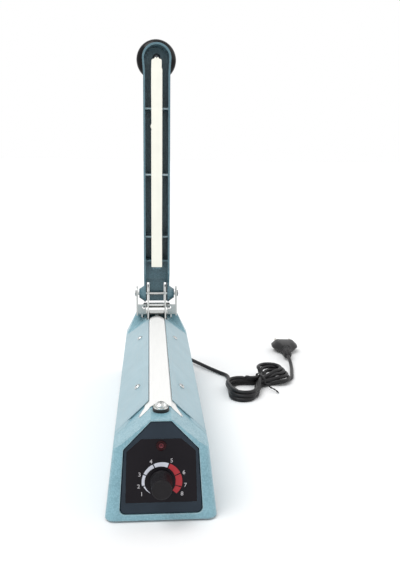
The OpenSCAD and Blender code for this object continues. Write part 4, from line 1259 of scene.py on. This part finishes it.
    def plug(self) -> bpy.types.Object:
        """Makes the flat two-pin plug's body, a six-sided wedge.

        Returns:
            The mesh object.
        """
        rings = []
        for y, wide, flat, tall in self.plug_stations:
            corners = [(wide, 0), (flat, tall), (0, tall), (-flat, tall),
                       (-wide, 0), (-flat, -tall), (0, -tall), (flat, -tall)]
            ring = []
            for (ax, az), (bx, bz) in zip(corners, corners[1:] + corners[:1]):
                for t in (0.12, 0.5, 0.88):
                    ring.append(self.on_plug(ax + (bx - ax) * t, y, az + (bz - az) * t))
            rings.append(ring)
        points, faces = loft(rings)
        piece = mesh_piece("plug_shell", points, faces, dress("lead_black"))
        soften(piece, 0.5, 3, 25)
        return attach(piece, "casing", "lead_black", "plug_body")

    def sleeve(self) -> bpy.types.Object:
        """Makes the plug's ribbed bend relief.

        Returns:
            The mesh object.
        """
        profile = [(0.6, 5.4), (-0.4, 5.7), (-2.6, 5.8), (-3.0, 5.2), (-4.0, 5.2), (-4.4, 5.7)]
        for k in range(4):
            y, r = -4.6 - 3.6 * k, 5.7 - 0.14 * k
            profile += [(y, r), (y - 2.4, r), (y - 2.7, r - 0.6), (y - 3.3, r - 0.6)]
        profile += [(-19.2, 5.0), (-20.6, 4.6), (-21.4, 3.6), (-24.0, 2.5)]
        rings = [[self.on_plug(r * math.cos(a), y, r * math.sin(a)) for a in full_turn(24)]
                 for y, r in profile]
        points, faces = loft(rings)
        piece = mesh_piece("plug_bend_relief", points, faces, dress("lead_black"))
        return attach(piece, "casing", "lead_black", "plug_sleeve")

    def build(self) -> None:
        cord = self.cord()
        pieces = [self.plug(), self.sleeve(), frame["nodes"]["plug_pins"], self.tie()]


# ---------- jaw ----------

@dataclass
class ReleaseCloth:
    """The white cloth stretched over the heating ribbon, clamped down both roof slopes."""

    top: float = 75.12
    over_roof: float = 0.32
    rear: float = 279.4
    stations: tuple[float, ...] = (
        0, 0.7, 1.3, 2.2, 3.6, 5.0, 6.2, 7.1, 7.6, 8.0, 8.3, 8.55, 8.75, 9.2, 10.0, 11.0)
    outer: int = 4
    rows: int = 60
    crowding: float = 1.6
    thickness: float = 0.14

    def front(self, x: float) -> float:
        """The front edge's place, an arch from wing tip to wing tip."""
        arch = ((0, 38.6), (2, 37.2), (4, 34.0), (6, 31.0), (8, 29.3), (10.5, 28.0), (14.7, 26.6))
        return between(arch, abs(x))

    def back(self, x: float) -> float:
        """The rear edge's place, a shallow arch the other way."""
        return self.rear - 8.0 * (min(abs(x), 8.8) / 8.8) ** 2

    def half_width(self, y: float) -> float:
        """Half the cloth's width, which flares into the wings."""
        return between(((26, 15.9), (30.3, 15.8), (36.2, 12.6), (37.5, 11.9), (42, 11.6), (270, 11.6)), y)

    def height(self, x: float, y: float) -> float:
        """Finds how high the cloth's upper side runs over the ribbon, the roof and the rear end.

        Args:
            x: Across the casing.
            y: Back from the casing's front foot.

        Returns:
            The height in millimetres.
        """
        x = abs(x)
        slope = roof(x) + self.over_roof
        crest = self.top - 0.05 * ease((x - 1.2) / 4.0)
        crest -= 0.5 * ease((34.0 - y) / 6.0)
        crest += 1.3 * ease((y - 266.0) / 10.0) * max(1.0 - (x / 8.6) ** 2, 0.0)
        return crest + (slope - crest) * ease((x - 7.3) / 1.4)

    def reach(self, column: int, y: float) -> float:
        """How far from the middle a column of points lies.

        Args:
            column: Its number, counted outward from the middle.
            y: The place along the casing.

        Returns:
            A fixed distance, or beyond those a share of the way to the cloth's edge.
        """
        last = len(self.stations) - 1
        if column <= last:
            return self.stations[column]
        share = (column - last) / self.outer
        return self.stations[last] + (self.half_width(y) - self.stations[last]) * share

    def sheet(self) -> list[list[Vector]]:
        """Lays out the cloth's rows, which stand closer together near the wings.

        Returns:
            The rows of points from front to rear.
        """
        count = len(self.stations) + self.outer
        columns = [(-1, k) for k in range(count - 1, 0, -1)] + [(1, k) for k in range(count)]
        first_guess, rounds = 45.0, 4
        rings = []
        for row in range(self.rows + 1):
            share = (row / self.rows) ** self.crowding
            ring = []
            for side, column in columns:
                y = first_guess
                for _ in range(rounds):
                    x = side * self.reach(column, y)
                    y = self.front(x) + (self.back(x) - self.front(x)) * share
                ring.append(spot(x, y, self.height(x, y)))
            rings.append(ring)
        return rings

    def build(self) -> None:
        rings = self.sheet()
        points, faces = loft(rings, closed=False, caps=False)
        piece = mesh_piece("coated_cloth", points, faces, dress("release_fabric"))
        thick = piece.modifiers.new("cloth_thickness", "SOLIDIFY")
        thick.thickness = self.thickness * MM
        thick.offset = -1.0
        attach(piece, "casing", "release_fabric", "release_cloth")


@dataclass
class SealStrip:
    """The arm's cream silicone strip, cut by hand at its ends."""

    half_width: float = 5.75
    low: float = 131.4
    face: float = 279.0
    thickness: float = 4.2

    def outline(self) -> list[tuple[float, float]]:
        """Draws the strip's front view, with a ragged top and small nicks down its sides.

        Returns:
            Its corners as places across and up.
        """
        w = self.half_width
        right = [(w, self.low), (w - 0.1, 180), (w, 228.0), (w - 0.25, 229.5), (w, 231.5), (w, 300),
                 (w, 337.0), (w - 0.7, 338.6), (w - 0.7, 345.6), (w - 1.4, 347.0), (w - 3.2, 347.2),
                 (w - 3.8, 348.2)]
        top = [(1.3, 348.9), (0.6, 348.4), (0.1, 347.3), (-0.4, 348.3), (-1.0, 348.9), (-2.0, 348.3),
               (-2.6, 347.3), (-4.4, 346.8), (-5.3, 345.8)]
        left = [(-w + 0.1, 338), (-w, 320), (-w + 0.25, 283.6), (-w + 0.1, 282.6), (-w - 0.6, 281.0),
                (-w - 0.7, 279.6), (-w, 278.0), (-w + 0.3, 277.2), (-w, 275.5), (-w, 200), (-w, self.low)]
        return right + top + left

    def build(self) -> None:
        """Makes the strip with rounded edges."""
        outline = self.outline()
        depths = (self.face, self.face + 1.2, self.face + self.thickness)
        rings = [[spot(x, y, z) for x, z in outline] for y in depths]
        points, faces = loft(rings)
        piece = mesh_piece("silicone_seal_strip", points, faces, dress("silicone"), smooth=False)
        soften(piece, 0.35, 3, 40)
        attach(piece, "arm", "silicone", "silicone_strip")


# ---------- dial ----------

@dataclass
class TimerDial:
    """The timer's printed scale and its fluted knob."""

    centre_v: float = 30.4
    print_face: float = -0.4
    print_rise: float = 0.04
    print_shift: tuple[float, float] = (0.5, -1.1)
    flutes: int = 40
    ticks: tuple[float, ...] = (225.0, 192.0, 156.0, 116.0, 68.5, 25.0, -16.0, -42.0)
    digit_radius: float = 16.7
    digit_height: float = 2.9
    digit_angles: tuple[float, ...] = (211.0, 190.5, 160.5, 117.5, 66.0, 23.0, -9.5, -32.5)
    bar_gap: float = 1.6
    bar_steps: int = 12
    knob_profile: tuple[tuple[float, float, float], ...] = (
        (1.0, 0.0, 0), (1.0, 7.7, 0), (1.2, 8.0, 0), (2.4, 8.0, 0), (2.8, 7.8, 0), (3.1, 7.5, 0),
        (3.6, 7.45, 1), (14.6, 7.15, 1), (15.6, 7.05, 0.5), (16.2, 6.9, 0), (16.65, 6.45, 0),
        (16.7, 6.1, 0), (16.35, 5.7, 0), (16.25, 3.0, 0), (16.3, 0.0, 0))
    flute_depth: float = 0.24

    def at(
        self,
        radius: float,
        angle: float,
        out: float,
        shift: tuple[float, float] = (0.0, 0.0),
    ) -> Vector:
        """A point round the dial's axis, or round a centre a little off it.

        Args:
            radius: Its distance from that centre.
            angle: Its direction, in degrees.
            out: Its height over the face.
            shift: The centre's own place off the axis.

        Returns:
            The point in the shared frame.
        """
        a = math.radians(angle)
        x, v = shift[0] + radius * math.cos(a), self.centre_v + shift[1] + radius * math.sin(a)
        return face_spot(x, v, out)

    def inner(self, angle: float) -> float:
        """The scale's inner radius, which grows towards its thin end."""
        return between(((-42, 9.7), (0, 9.5), (25, 9.9), (68, 10.9), (116, 11.5), (156, 12.1), (192, 12.3),
                        (225, 11.3)), angle)

    def outer(self, angle: float) -> float:
        """The scale's outer radius."""
        return between(((-42, 13.3), (-14, 14.3), (190, 14.3), (192.5, 13.5), (225, 11.5)), angle)

    def bars(self, name: str, tint: Finish, pairs: Sequence[tuple[float, float]]) -> None:
        """Makes the scale's bars in one colour.

        Args:
            name: The piece's name.
            tint: Its ink.
            pairs: Each bar's end angle and start angle in degrees.
        """
        points, faces = [], []
        for high, low in pairs:
            rings = []
            for k in range(self.bar_steps + 1):
                angle = low + self.bar_gap + (high - low - 2 * self.bar_gap) * k / self.bar_steps
                inner, outer = self.inner(angle), self.outer(angle)
                section = ((inner, 0.0), (inner, self.print_rise), (outer, self.print_rise), (outer, 0.0))
                rings.append([self.at(r, angle, self.print_face + rise, self.print_shift)
                              for r, rise in section])
            add_skin(points, faces, rings)
        attach(mesh_piece(name, points, faces, tint.material(), smooth=False), "casing", "label_print")

    def digit(self, number: int, angle: float) -> bpy.types.Mesh:
        """Makes one number as thin print, upright on the leaning face.

        Args:
            number: What it says.
            angle: Its direction round the dial, in degrees.

        Returns:
            Its mesh in the shared frame.
        """
        turn = Matrix((Vector((1, 0, 0)), Vector((0, math.sin(FACE_LEAN), math.cos(FACE_LEAN))),
                       Vector((0, -math.cos(FACE_LEAN), math.sin(FACE_LEAN))))).transposed()
        data = bpy.data.curves.new(f"digit_{number}", "FONT")
        data.body = str(number)
        data.size = self.digit_height / 0.72 * MM
        data.align_x = data.align_y = "CENTER"
        data.extrude = self.print_rise / 2 * MM
        data.offset = 0.07 * MM
        data.resolution_u = 6
        holder = bpy.data.objects.new(f"digit_{number}", data)
        centre = self.at(self.digit_radius, angle, self.print_face + 0.02, self.print_shift)
        holder.matrix_world = Matrix.Translation(centre) @ turn.to_4x4()
        bpy.context.scene.collection.objects.link(holder)
        bpy.context.view_layer.update()
        solid = bpy.data.meshes.new_from_object(holder.evaluated_get(bpy.context.evaluated_depsgraph_get()))
        solid.transform(holder.matrix_world)
        bpy.data.objects.remove(holder)
        bpy.data.curves.remove(data)
        return solid

    def digits(self, tint: Finish) -> None:
        """Joins the numbers 1 to 8 into one piece.

        Args:
            tint: Their ink.
        """
        whole = bmesh.new()
        for number, angle in enumerate(self.digit_angles, 1):
            solid = self.digit(number, angle)
            whole.from_mesh(solid)
            bpy.data.meshes.remove(solid)
        bmesh.ops.remove_doubles(whole, verts=whole.verts, dist=1e-6)
        mesh = bpy.data.meshes.new("dial_numbers")
        whole.to_mesh(mesh)
        whole.free()
        mesh.materials.clear()
        mesh.materials.append(tint.material())
        piece = bpy.data.objects.new("dial_numbers", mesh)
        bpy.context.scene.collection.objects.link(piece)
        attach(piece, "casing", "label_print")

    def knob(self) -> None:
        """Makes the finely fluted knob with a dished face."""
        count = self.flutes * 6
        rings = []
        for out, radius, cut in self.knob_profile:
            ring = []
            for k in range(count):
                wave = 0.5 + 0.5 * math.cos(2 * math.pi * self.flutes * k / count)
                reach = max(radius - cut * self.flute_depth * wave ** 2, 0.02)
                ring.append(self.at(reach, 360 * k / count, out))
            rings.append(ring)
        points, faces = loft(rings)
        piece = mesh_piece("timer_grip", points, faces, dress("dial_black"))
        soften(piece, 0.12, 2, 40)
        attach(piece, "timer_dial", "dial_black", "timer_knob")

    def build(self) -> None:
        """Makes the scale, its numbers and the knob."""
        white, red, pale = (
            MouldedPlastic("print_" + ink, linear(tone), 0.5, specular=0.3, grain=0.2, depth=0.004)
            for ink, tone in (("white", "dfe2ee"), ("red", "b5333b"), ("pale", "c9c6ca")))
        pairs = list(zip(self.ticks[:-1], self.ticks[1:]))
        self.bars("scale_bars_white", white, pairs[:4])
        self.bars("scale_bars_red", red, pairs[4:])
        self.digits(pale)
        self.knob()


@dataclass
class PilotLens:
    """The pilot lamp's lens, with a moulded ring round its middle."""

    profile: tuple[tuple[float, float], ...] = (
        (-6.0, 0.01), (-6.0, 2.05), (-0.2, 2.05), (0.25, 1.9), (0.3, 1.75), (0.0, 1.65), (0.1, 1.45),
        (0.45, 1.35), (0.1, 1.2), (-0.2, 1.0), (-0.3, 0.5), (-0.3, 0.01))

    def build(self) -> None:
        """Turns the lens round the lamp's axis."""
        rings = [[face_spot(r * math.cos(a), LAMP_V + r * math.sin(a), out) for a in full_turn(36)]
                 for out, r in self.profile]
        points, faces = loft(rings)
        piece = mesh_piece("pilot_lens", points, faces, dress("lamp_red"))
        attach(piece, "casing", "lamp_red", "lamp_lens")


@dataclass
class PlateSeams:
    """Paint that fills the joint between the casing's roof and the front edge of each clamp plate."""

    plate_top: float = 1.62
    line: tuple[tuple[float, float], ...] = (
        (21.6, 37.7), (25.0, 36.4), (29.0, 35.0), (33.2, 33.5), (33.8, 33.3))

    def build(self) -> None:
        """Makes a low ramp of enamel along both joints."""
        points, faces = [], []
        for side in (-1, 1):
            rings = []
            for x, y in self.line:
                share = ease((x - 21.4) / 2.0)
                foot = -3.4 * share - 0.5
                ramp = ((0.3, 0.0), (0.3, self.plate_top * share), (-0.5, self.plate_top * 0.8 * share),
                        (-2.2 * share - 0.5, 0.25 * share), (foot, 0.02), (foot, -0.3))
                rings.append([spot(side * x, y + along, roof(x) + up) for along, up in ramp])
            add_skin(points, faces, rings)
        attach(mesh_piece("plate_seam_paint", points, faces, dress("plate_paint")), "casing", "plate_paint")


@dataclass
class LinkSpring:
    """The coil under the casing's roof that pushes the link down and closes up as the link lifts."""

    turns: int = 5
    steps: int = 20
    sides: int = 10
    wire: float = 0.45

    def build(self) -> None:
        """Winds the coil where its node stands."""
        low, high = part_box("link_spring")
        middle, wire = (low + high) / 2, self.wire * MM
        radius, foot, rise = (high.y - low.y) / 2 - wire, low.z + wire, high.z - low.z - 2 * wire
        rings = []
        for k in range(self.turns * self.steps + 1):
            share = k / (self.turns * self.steps)
            turn = 2 * math.pi * self.turns * share
            out = Vector((math.cos(turn), math.sin(turn), 0))
            centre = Vector((middle.x, middle.y, foot + rise * share)) + out * radius
            rings.append([centre + (out * math.cos(a) + UP * math.sin(a)) * wire
                          for a in full_turn(self.sides)])
        points, faces = loft(rings)
        piece = mesh_piece("link_coil", points, faces, dress("spring_steel"))
        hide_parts("link_spring")
        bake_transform(piece)
        LOG.info("%s stands between link and casing", piece.name)


@dataclass
class FixedFrame:
    """The CAD nodes that stay as they are and only take their finish."""

    darker: dict[str, str] = field(default_factory=lambda: {"knob_screw": "clip_steel"})

    def build(self) -> None:
        """Gives every node the finish of its slot, or the finish listed for it in darker."""
        slots = {part["node"]: part["material_slot"] for part in frame["record"]["subparts"]}
        for name, node in frame["nodes"].items():
            for place in node.material_slots:
                place.material = dress(self.darker.get(name, slots[name]))
            LOG.info("%s wears %s", name, slots[name])


def main() -> None:
    """Builds the studio and every sub-assembly in order."""
    for part in (Studio(), MainsLead(), FixedFrame(), ReleaseCloth(), SealStrip(),
                 TimerDial(), PilotLens(), PlateSeams(), LinkSpring()):
        part.build()
        LOG.info("%s built", type(part).__name__)


if __name__ == "__main__":
    main()
